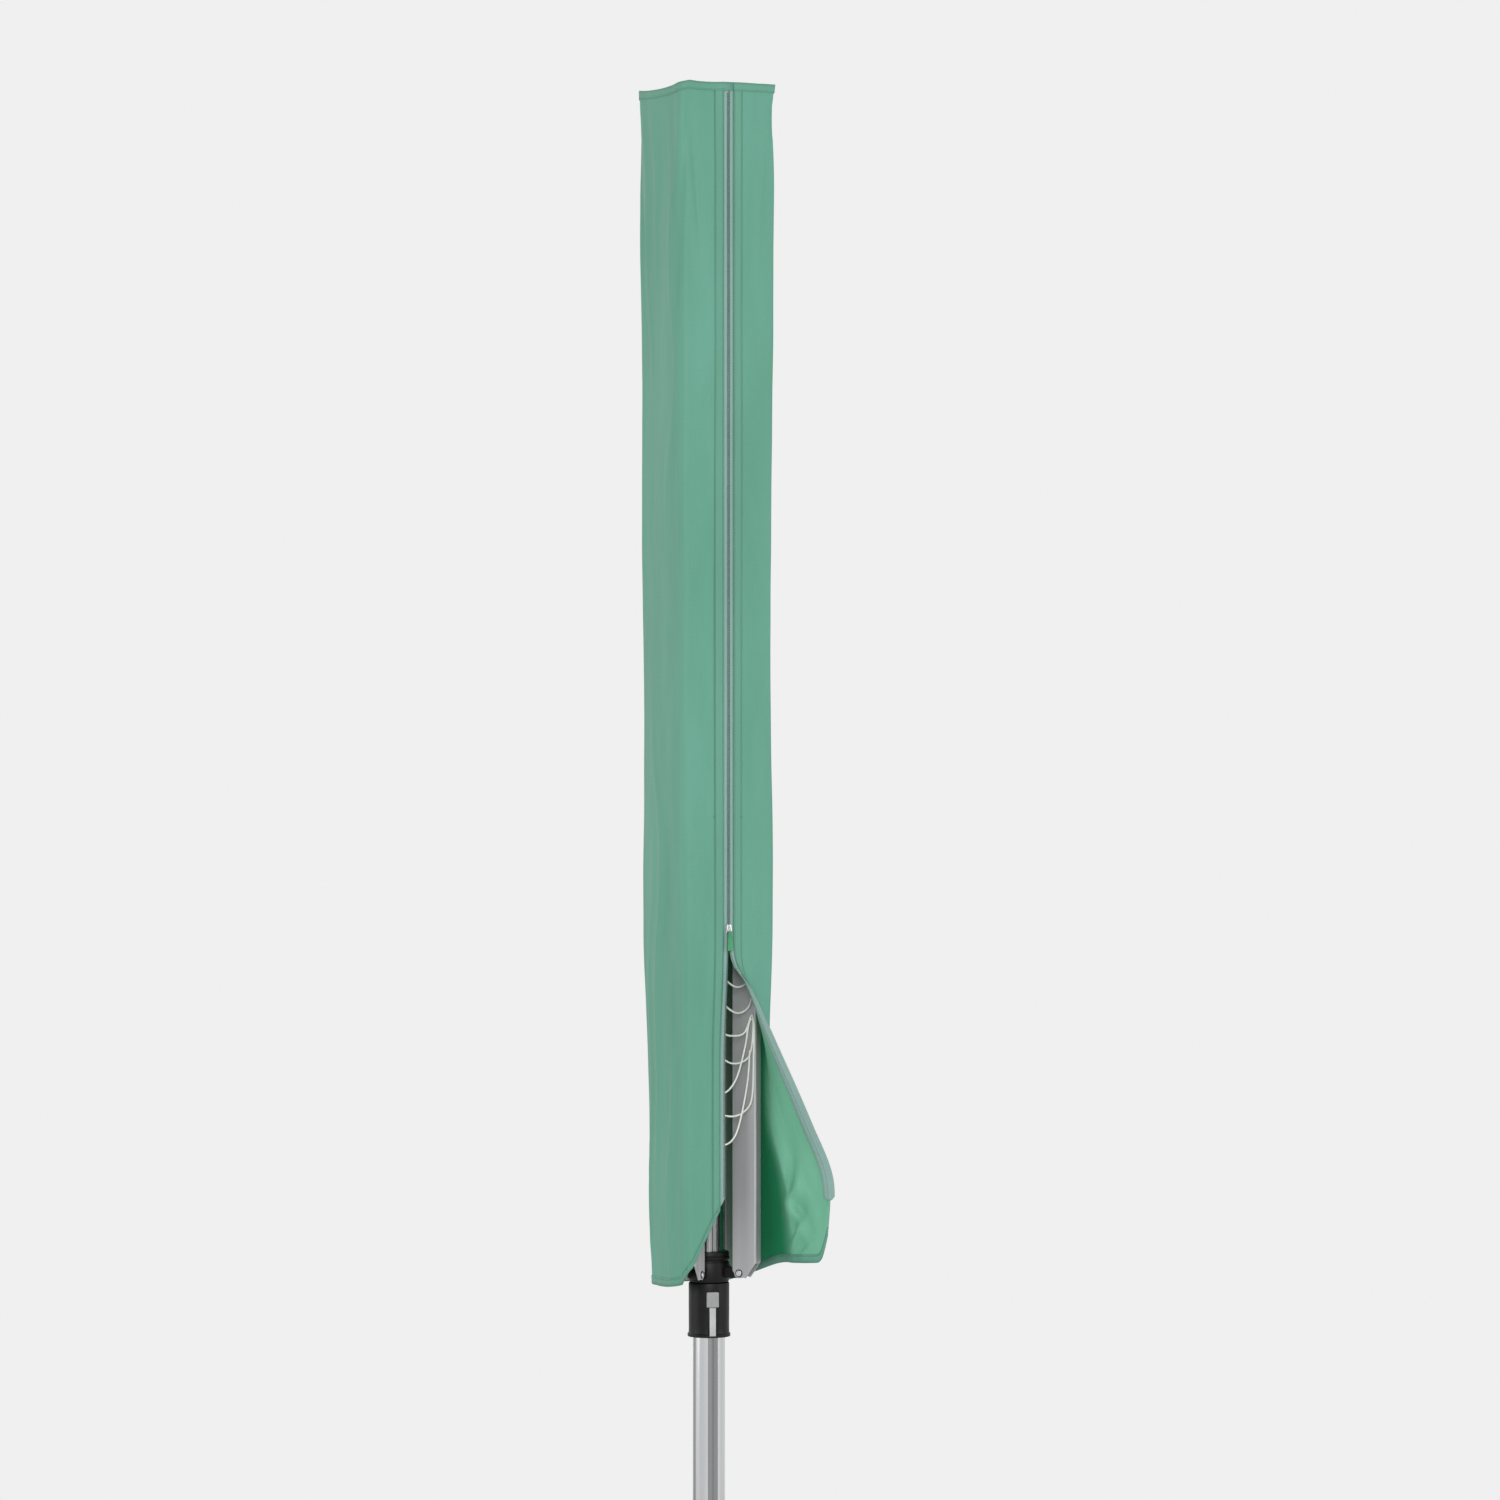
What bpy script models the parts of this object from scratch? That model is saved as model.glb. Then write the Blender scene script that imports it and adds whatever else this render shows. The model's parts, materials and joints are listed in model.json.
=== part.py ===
"""Rotary clothesline, folded up the mast under its fabric cover.

Metres, +Z up. The origin is the middle of the mast's foot. The four arms lie
on +X, +Y, -X and -Y, and the cover's zip faces the quarter between -Y and +X.
"""
import math

import bmesh
import bpy
from mathutils import Matrix, Vector

# Mast
GAP = 0.0003
FOOT_FLANGE_R = 0.0262
FOOT_FLANGE_T = 0.004
LOWER_R = 0.025
LOWER_BORE_R = 0.0236
UPPER_R = 0.0218
UPPER_BORE_R = 0.0202
FLUTES = 8
FLUTE_DEPTH = 0.0008
BOLT_Z = 0.780                      # foot bolts of the arms, with the mast at its lowest
COLLAR_Z = (0.680, 0.764)
COLLAR_R = 0.0315
LOWER_TOP = 0.745
UPPER_Z = (0.100, 2.236)

# Folding frame
ARMS = 4
PIVOT_R = 0.0546                    # all pivots lie this far from the mast's axis
LINK = 0.720                        # strut length, and foot bolt to strut pivot
ARM_LENGTH = 1.800
ARM_IN, ARM_OUT = 0.044, 0.083
ARM_HALF, ARM_WALL = 0.011, 0.002
STRUT_HALF, STRUT_WALL = 0.007, 0.0015
STRUT_IN, STRUT_OUT = 0.0476, 0.0616
PIN_R = 0.003
HUB_R = 0.032
HUB_Z = (0.7643, 0.812)
RUNNER_LUG_HALF = 0.0087
TOP_Z = BOLT_Z + 2 * LINK
TOP_HUB_R = 0.030
TOP_LUG_HALF = 0.0052

# Latch on the collar
LATCH_AZIMUTH = math.radians(-57)   # plan angle of the latch from +X
BUTTON_Z = (0.727, 0.751)
STRIP_Z = (0.682, 0.7267)

# Washing line
LINE_R = 0.0015

# Cover
CLOTH = 0.0015
COVER_TOP = BOLT_Z + 1.840
ZIP_OUT = 0.0785                    # zip line's distance from the mast's axis
ZIP_HALF = 0.008
TAPE_T = 0.0012
TAPE_LOW = 0.105                    # lower end of the tapes, over the foot bolts
TAPE_GAP = 0.0009
SLIDER_Z = BOLT_Z + 0.532

ZIP_TURN = math.radians(-45)

PALETTE = {
    "alloy": ((0.42, 0.42, 0.43), 0.36, 1.0),
    "alloy_tube": ((0.50, 0.51, 0.52), 0.30, 1.0),
    "black_plastic": ((0.013, 0.013, 0.014), 0.42, 0.0),
    "grey_plastic": ((0.36, 0.37, 0.37), 0.45, 0.0),
    "steel": ((0.55, 0.55, 0.55), 0.28, 1.0),
    "line_sheath": ((0.66, 0.69, 0.64), 0.40, 0.0),
    "green_cloth": ((0.16, 0.41, 0.30), 0.75, 0.0),
    "zip_tape": ((0.25, 0.36, 0.35), 0.80, 0.0),
    "green_plastic": ((0.12, 0.42, 0.22), 0.45, 0.0),
}


def clear_scene():
    for item in list(bpy.data.objects):
        bpy.data.objects.remove(item)


def material(name):
    found = bpy.data.materials.get(name)
    if found:
        return found
    colour, roughness, metallic = PALETTE[name]
    made = bpy.data.materials.new(name)
    made.use_nodes = True
    shader = made.node_tree.nodes["Principled BSDF"]
    shader.inputs["Base Color"].default_value = (*colour, 1.0)
    shader.inputs["Roughness"].default_value = roughness
    shader.inputs["Metallic"].default_value = metallic
    return made


def add(name, mesh, finish, place=None):
    """Link a mesh as one node, turned and moved by the matrix place."""
    if not mesh.materials:
        mesh.materials.append(material(finish))
    node = bpy.data.objects.new(name, mesh)
    if place:
        node.matrix_world = place
    bpy.context.scene.collection.objects.link(node)
    return node


def finish_mesh(bm, name, smooth=True):
    bmesh.ops.recalc_face_normals(bm, faces=bm.faces)
    mesh = bpy.data.meshes.new(name)
    bm.to_mesh(mesh)
    bm.free()
    if smooth:
        mesh.shade_smooth()
        mesh.set_sharp_from_angle(angle=math.radians(35))
    return mesh


def turned(name, outline, segments=24):
    """Turn a closed (radius, height) outline about Z; points on the axis become poles."""
    bm = bmesh.new()
    rings = []
    for radius, height in outline:
        if radius == 0:
            rings.append([bm.verts.new((0, 0, height))])
            continue
        ring = []
        for i in range(segments):
            angle = math.tau * i / segments
            ring.append(bm.verts.new((radius * math.cos(angle), radius * math.sin(angle), height)))
        rings.append(ring)
    closes = outline[0][0] > 0
    for k in range(len(rings) if closes else len(rings) - 1):
        low, high = rings[k], rings[(k + 1) % len(rings)]
        for i in range(segments):
            j = (i + 1) % segments
            corners = [low[i % len(low)], low[j % len(low)], high[j % len(high)], high[i % len(high)]]
            bm.faces.new(list(dict.fromkeys(corners)))
    return finish_mesh(bm, name)


def prism(name, outline, half, smooth=False):
    """Extrude an outline in the X-Z plane from -half to +half along Y."""
    bm = bmesh.new()
    face = bm.faces.new([bm.verts.new((x, -half, z)) for x, z in outline])
    grown = bmesh.ops.extrude_face_region(bm, geom=[face])
    moved = [v for v in grown["geom"] if isinstance(v, bmesh.types.BMVert)]
    bmesh.ops.translate(bm, verts=moved, vec=(0, 2 * half, 0))
    return finish_mesh(bm, name, smooth)


def column(name, outline, low, high, smooth=False):
    """Extrude an outline in the X-Y plane from low to high along Z."""
    bm = bmesh.new()
    face = bm.faces.new([bm.verts.new((x, y, low)) for x, y in outline])
    grown = bmesh.ops.extrude_face_region(bm, geom=[face])
    moved = [v for v in grown["geom"] if isinstance(v, bmesh.types.BMVert)]
    bmesh.ops.translate(bm, verts=moved, vec=(0, 0, high - low))
    return finish_mesh(bm, name, smooth)


def rod(name, radius, half, x, z, segments=12):
    """A plain round bar along Y."""
    mesh = turned(name, [(0, -half), (radius, -half), (radius, half), (0, half)], segments)
    mesh.transform(Matrix.Translation((x, 0, z)) @ Matrix.Rotation(math.pi / 2, 4, "X"))
    return mesh


def combined(name, base, steps, smooth_angle=35):
    """Apply (operation, mesh) boolean steps to a base mesh and return the result."""
    body = bpy.data.objects.new(name, base)
    bpy.context.scene.collection.objects.link(body)
    tools = []
    for operation, mesh in steps:
        tool = bpy.data.objects.new(name + "_tool", mesh)
        tool.hide_render = True
        tool.display_type = "WIRE"
        bpy.context.scene.collection.objects.link(tool)
        tools.append(tool)
        modifier = body.modifiers.new(operation.lower(), "BOOLEAN")
        modifier.operation = operation
        modifier.object = tool
    result = bpy.data.meshes.new_from_object(body.evaluated_get(bpy.context.evaluated_depsgraph_get()))
    result.name = name
    result.materials.clear()
    result.shade_smooth()
    result.set_sharp_from_angle(angle=math.radians(smooth_angle))
    for item in tools + [body]:
        bpy.data.objects.remove(item)
    return result


def quarter_turn(index):
    return Matrix.Rotation(math.tau * index / ARMS, 4, "Z")


def fluted_ring(bm, radius, height, sides):
    """One ring of a tube whose outside carries shallow round flutes."""
    ring = []
    for i in range(sides):
        angle = math.tau * i / sides
        groove = max(0.0, math.cos(FLUTES * angle)) ** 4
        reach = radius - FLUTE_DEPTH * groove
        ring.append(bm.verts.new((reach * math.cos(angle), reach * math.sin(angle), height)))
    return ring


def fluted_tube(name, radius, bore, low, high, sides=64):
    bm = bmesh.new()
    outer = [fluted_ring(bm, radius, z, sides) for z in (low, high)]
    inner = []
    for z in (low, high):
        inner.append([bm.verts.new((bore * v.co.x / v.co.xy.length, bore * v.co.y / v.co.xy.length, z))
                      for v in outer[0]])
    for i in range(sides):
        j = (i + 1) % sides
        bm.faces.new((outer[0][i], outer[0][j], outer[1][j], outer[1][i]))
        bm.faces.new((inner[0][j], inner[0][i], inner[1][i], inner[1][j]))
        bm.faces.new((outer[1][i], outer[1][j], inner[1][j], inner[1][i]))
        bm.faces.new((outer[0][j], outer[0][i], inner[0][i], inner[0][j]))
    return finish_mesh(bm, name)


# Lower mast, its foot plug, guide bush and collar

def build_lower_mast():
    add("lower_mast_tube", fluted_tube("lower_mast_tube", LOWER_R, LOWER_BORE_R,
                                       FOOT_FLANGE_T + GAP, LOWER_TOP), "alloy_tube")
    plug_r = LOWER_BORE_R - GAP
    plug = [(0, 0), (FOOT_FLANGE_R - 0.001, 0), (FOOT_FLANGE_R, 0.001), (FOOT_FLANGE_R, FOOT_FLANGE_T),
            (plug_r, FOOT_FLANGE_T), (plug_r, 0.034), (plug_r - 0.0015, 0.036), (0, 0.036)]
    add("foot_plug", turned("foot_plug", plug), "black_plastic")
    bush_out, bush_in = LOWER_BORE_R - GAP, UPPER_R + GAP
    bush = [(bush_in, 0.650), (bush_out, 0.650), (bush_out, LOWER_TOP - GAP), (bush_in, LOWER_TOP - GAP)]
    add("guide_bush", turned("guide_bush", bush), "black_plastic")


def build_collar():
    low, high = COLLAR_Z
    tube_clear, mast_clear = LOWER_R + GAP, UPPER_R + 0.0006
    outline = [(mast_clear, LOWER_TOP + GAP), (tube_clear, LOWER_TOP + GAP), (tube_clear, low),
               (COLLAR_R + 0.001, low), (COLLAR_R + 0.0018, low + 0.002), (COLLAR_R + 0.0016, low + 0.006),
               (COLLAR_R + 0.0002, low + 0.009), (COLLAR_R - 0.0002, low + 0.014), (COLLAR_R, high - 0.010),
               (COLLAR_R, high - 0.0015), (COLLAR_R - 0.0015, high), (mast_clear, high)]
    turn = Matrix.Rotation(LATCH_AZIMUTH, 4, "Z")
    pocket = latch_block("pocket", (0.0272, 0.0400), 0.0102, (BUTTON_Z[0] - 0.0006, BUTTON_Z[1] + 0.0006))
    slot = latch_block("slot", (0.0290, 0.0400), 0.0056, (low - 0.002, BUTTON_Z[0]))
    mesh = combined("mast_collar", turned("mast_collar", outline, 32),
                    [("DIFFERENCE", pocket), ("DIFFERENCE", slot)])
    add("mast_collar", mesh, "black_plastic")
    button = latch_block("latch_button", (0.0298, 0.0340), 0.0096, BUTTON_Z, 0.0012)
    add("latch_button", button, "grey_plastic", turn)
    strip = latch_block("latch_strip", (0.0293, 0.0328), 0.0050, STRIP_Z, 0.0006)
    add("latch_strip", strip, "grey_plastic", turn)


def latch_block(name, reach, half, heights, bevel=0.0):
    """A block facing +X; unbevelled ones are cutters and are turned to the latch's place."""
    outline = [(reach[0], -half), (reach[1], -half), (reach[1], half), (reach[0], half)]
    mesh = column(name, outline, *heights)
    if not bevel:
        mesh.transform(Matrix.Rotation(LATCH_AZIMUTH, 4, "Z"))
        return mesh
    bm = bmesh.new()
    bm.from_mesh(mesh)
    front = [e for e in bm.edges if all(v.co.x > reach[1] - 1e-6 for v in e.verts)]
    bmesh.ops.bevel(bm, geom=front, offset=bevel, segments=2, affect="EDGES", profile=0.5)
    return finish_mesh(bm, name)


# Upper mast, its bearing, top hub and cap

def build_upper_mast():
    add("upper_mast_tube", fluted_tube("upper_mast_tube", UPPER_R, UPPER_BORE_R, *UPPER_Z), "alloy_tube")
    spigot, slide_r = UPPER_BORE_R - GAP, LOWER_BORE_R - GAP
    low = UPPER_Z[0]
    bearing = [(0, 0.060), (slide_r, 0.060), (slide_r, low - GAP), (spigot, low - GAP),
               (spigot, low + 0.030), (0, low + 0.030)]
    add("lift_bearing", turned("lift_bearing", bearing), "black_plastic")
    cap_r = TOP_HUB_R
    cap_z = TOP_Z + 0.0223
    cap = [(0, cap_z), (cap_r, cap_z), (cap_r, cap_z + 0.006), (cap_r - 0.004, cap_z + 0.011),
           (cap_r * 0.55, cap_z + 0.014), (0, cap_z + 0.015)]
    add("mast_cap", turned("mast_cap", cap), "black_plastic")


def lug(name, root, tip_r, half, z, drop=0.0):
    """A rounded ear that reaches from the hub's wall to the pivot and round it."""
    arc = [(PIVOT_R + tip_r * math.sin(a), z - tip_r * math.cos(a))
           for a in (math.pi * i / 6 for i in range(7))]
    return prism(name, [(root, z - tip_r - drop)] + arc + [(root, z + tip_r)], half)


def hub_with_lugs(name, outline, root, tip_r, half, z, drop=0.0):
    steps = []
    for i in range(ARMS):
        ear = lug("ear", root, tip_r, half, z, drop)
        ear.transform(quarter_turn(i))
        steps.append(("UNION", ear))
    for i in range(ARMS):
        hole = rod("hole", PIN_R + GAP, half + 0.002, PIVOT_R, z)
        hole.transform(quarter_turn(i))
        steps.append(("DIFFERENCE", hole))
    return combined(name, turned(name, outline, 32), steps)


def build_hubs():
    low, high = HUB_Z
    bore = UPPER_R + 0.0008
    groove = high - 0.013
    outline = [(bore, low), (HUB_R - 0.0035, low), (HUB_R - 0.001, low + 0.002), (HUB_R - 0.001, groove - 0.002),
               (HUB_R - 0.003, groove), (HUB_R - 0.003, groove + 0.002), (HUB_R, groove + 0.004),
               (HUB_R, high - 0.003), (HUB_R - 0.002, high), (bore, high)]
    runner = hub_with_lugs("runner_hub", outline, HUB_R - 0.006, 0.0078, RUNNER_LUG_HALF, BOLT_Z, 0.004)
    add("runner_hub", runner, "black_plastic")
    fit = UPPER_R + GAP
    outline = [(fit, TOP_Z - 0.022), (TOP_HUB_R - 0.002, TOP_Z - 0.022), (TOP_HUB_R, TOP_Z - 0.018),
               (TOP_HUB_R, TOP_Z + 0.022), (fit, TOP_Z + 0.022)]
    top = hub_with_lugs("top_hub", outline, TOP_HUB_R - 0.005, 0.0052, TOP_LUG_HALF, TOP_Z)
    add("top_hub", top, "black_plastic")


# Arms, struts and their pins; each is modelled on +X and turned into place

def channel(inner, outer, half, wall, corner=0.0):
    """Plan outline of a U-section open towards the mast, with rounded outer corners."""
    points = [(inner, -half), (inner, -half + wall), (outer - wall, -half + wall),
              (outer - wall, half - wall), (inner, half - wall), (inner, half)]
    for side in (1, -1):
        turns = range(4) if side > 0 else range(3, -1, -1)
        for i in turns:
            angle = math.radians(90 - 30 * i)
            points.append((outer - corner + corner * math.cos(angle),
                           side * (half - corner + corner * math.sin(angle))))
    return points


def arm_side(foot_r=0.0080):
    """Side outline of an arm: rounded foot, slanted outer corner, square top."""
    top = BOLT_Z + ARM_LENGTH
    arc = []
    for i in range(7):
        angle = math.radians(180 + 22.5 * i)
        arc.append((PIVOT_R + foot_r * math.cos(angle), BOLT_Z + foot_r * math.sin(angle)))
    return [(ARM_IN, top), (ARM_IN, BOLT_Z + 0.004)] + arc + [
        (0.0655, BOLT_Z - 0.0075), (ARM_OUT + 0.001, BOLT_Z + 0.0195), (ARM_OUT + 0.001, top)]


def strut_side(foot_r=0.0070):
    """Side outline of a strut: round at both pivots, its web stopping short of them."""
    low, high = BOLT_Z + LINK, TOP_Z
    ends = []
    for centre, start in ((low, 180), (high, 0)):
        for i in range(7):
            angle = math.radians(start + 30 * i)
            ends.append((PIVOT_R + foot_r * math.cos(angle), centre + foot_r * math.sin(angle)))
    return ends


def build_arms():
    low = BOLT_Z - 0.012
    section = channel(ARM_IN, ARM_OUT, ARM_HALF, ARM_WALL, 0.0028)
    arm = combined("arm", column("arm", section, low, BOLT_Z + ARM_LENGTH), [
        ("INTERSECT", prism("side", arm_side(), 0.02)),
        ("DIFFERENCE", rod("foot_hole", PIN_R + GAP, 0.02, PIVOT_R, BOLT_Z)),
        ("DIFFERENCE", rod("pivot_hole", PIN_R + GAP, 0.02, PIVOT_R, BOLT_Z + LINK))])
    section = channel(STRUT_IN, STRUT_OUT, STRUT_HALF, STRUT_WALL, 0.0015)
    low, high = BOLT_Z + LINK, TOP_Z
    strut = combined("strut", column("strut", section, low - 0.01, high + 0.01), [
        ("INTERSECT", prism("side", strut_side(), 0.02)),
        ("DIFFERENCE", rod("low_hole", PIN_R + GAP, 0.02, PIVOT_R, low)),
        ("DIFFERENCE", rod("high_hole", PIN_R + GAP, 0.02, PIVOT_R, high))])
    bolt = bolt_mesh("foot_bolt", ARM_HALF + GAP, PIVOT_R, BOLT_Z)
    pivot = bolt_mesh("pivot_pin", ARM_HALF + GAP, PIVOT_R, BOLT_Z + LINK)
    top_pin = rod("top_pin", PIN_R, ARM_HALF - ARM_WALL - GAP, PIVOT_R, TOP_Z)
    cap = tip_cap()
    finishes = (("arm", arm, "alloy"), ("strut", strut, "alloy"), ("foot_bolt", bolt, "steel"),
                ("pivot_pin", pivot, "steel"), ("top_pin", top_pin, "steel"), ("tip_cap", cap, "black_plastic"))
    for index in range(ARMS):
        for name, mesh, finish in finishes:
            add(f"{name}_{index + 1}", mesh, finish, quarter_turn(index))


def bolt_mesh(name, grip, x, z, head_r=0.0052, head_t=0.0022, segments=12):
    """A through bolt along Y with a domed head and a riveted end outside the grip."""
    face = grip + head_t
    outline = [(0, -face), (head_r * 0.6, -face), (head_r, -grip - head_t * 0.4), (head_r, -grip), (PIN_R, -grip),
               (PIN_R, grip), (head_r, grip), (head_r, grip + head_t * 0.4), (head_r * 0.6, face), (0, face)]
    mesh = turned(name, outline, segments)
    mesh.transform(Matrix.Translation((x, 0, z)) @ Matrix.Rotation(math.pi / 2, 4, "X"))
    return mesh


def tip_cap():
    """Plug and lid closing an arm's upper end."""
    top = BOLT_Z + ARM_LENGTH + GAP
    outer = [(ARM_IN, -ARM_HALF), (ARM_OUT, -ARM_HALF), (ARM_OUT, ARM_HALF), (ARM_IN, ARM_HALF)]
    lid = column("tip_cap", outer, top, top + 0.010)
    side = ARM_HALF - ARM_WALL - GAP
    inner = [(ARM_IN + 0.004, -side), (ARM_OUT - ARM_WALL - GAP, -side),
             (ARM_OUT - ARM_WALL - GAP, side), (ARM_IN + 0.004, side)]
    return combined("tip_cap", lid, [("UNION", column("plug", inner, top - 0.020, top + 0.004))])


# Washing line: one length for each side, hanging folded between two arms.
# Points are along the side, out from the mast, and up from the foot bolts.

LINE_ROUTE = [
    (-0.0340, 0.0576, 0.545), (-0.0250, 0.0600, 0.500), (-0.0020, 0.0625, 0.459), (0.0200, 0.0630, 0.443),
    (0.0400, 0.0638, 0.452), (0.0448, 0.0650, 0.470), (0.0455, 0.0652, 0.440),
    (0.0400, 0.0630, 0.412), (0.0200, 0.0618, 0.403), (-0.0040, 0.0612, 0.420), (-0.0280, 0.0590, 0.452),
    (-0.0370, 0.0580, 0.440), (-0.0250, 0.0605, 0.394), (-0.0020, 0.0640, 0.372), (0.0150, 0.0645, 0.368),
    (0.0330, 0.0640, 0.373), (0.0445, 0.0652, 0.400), (0.0462, 0.0656, 0.372),
    (0.0400, 0.0630, 0.335), (0.0160, 0.0620, 0.325), (-0.0060, 0.0615, 0.337), (-0.0330, 0.0585, 0.375),
    (-0.0370, 0.0580, 0.340), (-0.0240, 0.0605, 0.293), (-0.0030, 0.0645, 0.280), (0.0180, 0.0650, 0.301),
    (0.0330, 0.0650, 0.350), (0.0400, 0.0655, 0.392), (0.0462, 0.0656, 0.360),
    (0.0445, 0.0645, 0.270), (0.0300, 0.0625, 0.249), (0.0080, 0.0615, 0.244), (-0.0150, 0.0600, 0.256),
    (-0.0340, 0.0583, 0.300), (-0.0360, 0.0580, 0.260), (-0.0220, 0.0610, 0.212), (-0.0030, 0.0648, 0.200),
    (0.0190, 0.0650, 0.219), (0.0360, 0.0655, 0.290), (0.0410, 0.0655, 0.345),
]


def smooth_route(points, parts):
    """Catmull-Rom curve through the points, with parts steps between each pair."""
    ends = [points[0] * 2 - points[1]] + points + [points[-1] * 2 - points[-2]]
    curve = []
    for k in range(1, len(ends) - 2):
        a, b, c, d = ends[k - 1:k + 3]
        for i in range(parts):
            t = i / parts
            curve.append(0.5 * (2 * b + (c - a) * t + (2 * a - 5 * b + 4 * c - d) * t * t
                                + (3 * b - a - 3 * c + d) * t ** 3))
    return curve + [points[-1]]


def build_lines():
    along = Vector((math.cos(ZIP_TURN + math.pi / 2), math.sin(ZIP_TURN + math.pi / 2), 0))
    out = Vector((math.cos(ZIP_TURN), math.sin(ZIP_TURN), 0))
    points = [along * s + out * n + Vector((0, 0, BOLT_Z + h)) for s, n, h in LINE_ROUTE]
    route = smooth_route(points, 2)
    for index in range(ARMS):
        curve = bpy.data.curves.new(f"line_{index + 1}", "CURVE")
        curve.dimensions = "3D"
        curve.bevel_depth = LINE_R
        curve.bevel_resolution = 2
        curve.use_fill_caps = True
        spline = curve.splines.new("POLY")
        spline.points.add(len(route) - 1)
        for slot, place in zip(spline.points, route):
            slot.co = (*place, 1)
        add(f"line_{index + 1}", curve, "line_sheath", quarter_turn(index))


# Cover: one sheet wrapped from the zip's left edge round the back to its right edge.
# Each level is (height over the foot bolts, corner reaches at -Y, -X and +Y,
# then the +X corner, the flap's belly and the flap's edge, as along and out).

LEVELS = [
    (-0.030, 0.0985, 0.0985, 0.0985, (0.100, 0.099), (0.106, 0.137), (0.125, 0.164)),
    (0.060, 0.0990, 0.0995, 0.0985, (0.099, 0.098), (0.105, 0.136), (0.126, 0.162)),
    (0.148, 0.1000, 0.1015, 0.0990, (0.090, 0.090), (0.113, 0.118), (0.145, 0.136)),
    (0.236, 0.1010, 0.1040, 0.1000, (0.074, 0.075), (0.078, 0.106), (0.107, 0.131)),
    (0.370, 0.1020, 0.1080, 0.1020, (0.0725, 0.0725), (0.040, 0.088), (0.050, 0.124)),
    (0.441, 0.1030, 0.1100, 0.1030, (0.0735, 0.0735), (0.029, 0.079), (0.024, 0.108)),
    (0.478, 0.1040, 0.1110, 0.1040, (0.0740, 0.0740), (0.034, 0.079), (0.012, 0.084)),
    (0.520, 0.1050, 0.1120, 0.1050, (0.0742, 0.0742), (0.040, 0.080), (ZIP_HALF, ZIP_OUT)),
    (0.900, 0.1070, 0.1140, 0.1070, (0.0748, 0.0748), (0.040, 0.080), (ZIP_HALF, ZIP_OUT)),
    (1.300, 0.1090, 0.1160, 0.1090, (0.0760, 0.0760), (0.040, 0.080), (ZIP_HALF, ZIP_OUT)),
    (1.850, 0.1120, 0.1200, 0.1120, (0.0785, 0.0785), (0.040, 0.080), (ZIP_HALF, ZIP_OUT)),
]
HEM = [0.100, 0.000, -0.021, -0.021, 0.014, 0.016, 0.055]
ZIP_OPEN = 0.520                    # height over the foot bolts below which the zip is open
LOWER_ROWS, UPPER_ROWS = 11, 7
CORNER_R = 0.013
FACE_BOW = 0.0022


def level_at(height):
    """Blend the two levels round a height, easing between them."""
    for low, high in zip(LEVELS, LEVELS[1:]):
        if height <= high[0]:
            break
    t = min(1.0, max(0.0, (height - low[0]) / (high[0] - low[0])))
    blended = []
    for a, b in zip(low[1:], high[1:]):
        if isinstance(a, tuple):
            blended.append(Vector(a).lerp(Vector(b), t))
        else:
            blended.append(a + (b - a) * t)
    return blended


def plan_vector(angle, reach):
    return Vector((math.cos(angle), math.sin(angle))) * reach


def face_frame(point):
    """A point given along the zip's face and out from the mast, in plan."""
    return plan_vector(ZIP_TURN + math.pi / 2, point[0]) + plan_vector(ZIP_TURN, point[1])


def stations(height):
    """Plan corners of the sheet at a height: zip edge, three corners, the +X corner."""
    front, left, back, corner, belly, edge = level_at(height)
    start = face_frame((-ZIP_HALF, ZIP_OUT))
    corners = [start, plan_vector(-math.pi / 2, front), plan_vector(math.pi, left),
               plan_vector(math.pi / 2, back), face_frame(corner)]
    return corners, face_frame(belly), face_frame(edge)


def rounded_path(corners, per_face, per_corner):
    """Points along the faces, with a round turn at each inner corner."""
    path = []
    last = len(corners) - 1
    for k in range(last):
        a, b = corners[k], corners[k + 1]
        run = (b - a).normalized()
        begin = a + run * (CORNER_R if k else 0.0)
        end = b - run * (CORNER_R if k + 1 < last else 0.0)
        out = Vector((run.y, -run.x)) * -1
        if out.dot((a + b) / 2) < 0:
            out = -out
        for i in range(per_face + 1):
            t = i / per_face
            path.append(begin.lerp(end, t) + out * FACE_BOW * 4 * t * (1 - t) * (1 if k else 0))
        if k + 1 < last:
            after = (corners[k + 2] - b).normalized()
            for i in range(1, per_corner):
                t = i / per_corner
                exit_point = b + after * CORNER_R
                path.append(end * (1 - t) ** 2 + b * 2 * t * (1 - t) + exit_point * t * t)
    return path


def section_at(height, per_face, per_corner, per_flap):
    corners, belly, edge = stations(height)
    path = rounded_path(corners, per_face, per_corner)
    corner = path[-1]
    for i in range(1, per_flap + 1):
        t = i / per_flap
        path.append(corner * (1 - t) ** 2 + belly * 2 * t * (1 - t) + edge * t * t)
    return path


def hem_at(share):
    """Height of the lower hem over the foot bolts, by the share of the way round."""
    place = share * (len(HEM) - 1)
    k = min(int(place), len(HEM) - 2)
    t = place - k
    t = t * t * (3 - 2 * t) if k else t
    return HEM[k] + (HEM[k + 1] - HEM[k]) * t


def hem_share(index, per_face, per_corner, per_flap):
    """Share round the sheet with each face, and the flap's halves, an equal step."""
    step = per_face + per_corner
    if index <= 4 * step - per_corner:
        return min(index / step, 4.0) / (len(HEM) - 1)
    return (4 + 2 * (index - 4 * step + per_corner) / per_flap) / (len(HEM) - 1)


def row_heights(hem):
    """Heights of the sheet's rows over the foot bolts, closer together near the flap."""
    top = COVER_TOP - BOLT_Z
    lower = [hem + (ZIP_OPEN - hem) * row / LOWER_ROWS for row in range(LOWER_ROWS)]
    return lower + [ZIP_OPEN + (top - ZIP_OPEN) * row / UPPER_ROWS for row in range(UPPER_ROWS + 1)]


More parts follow.
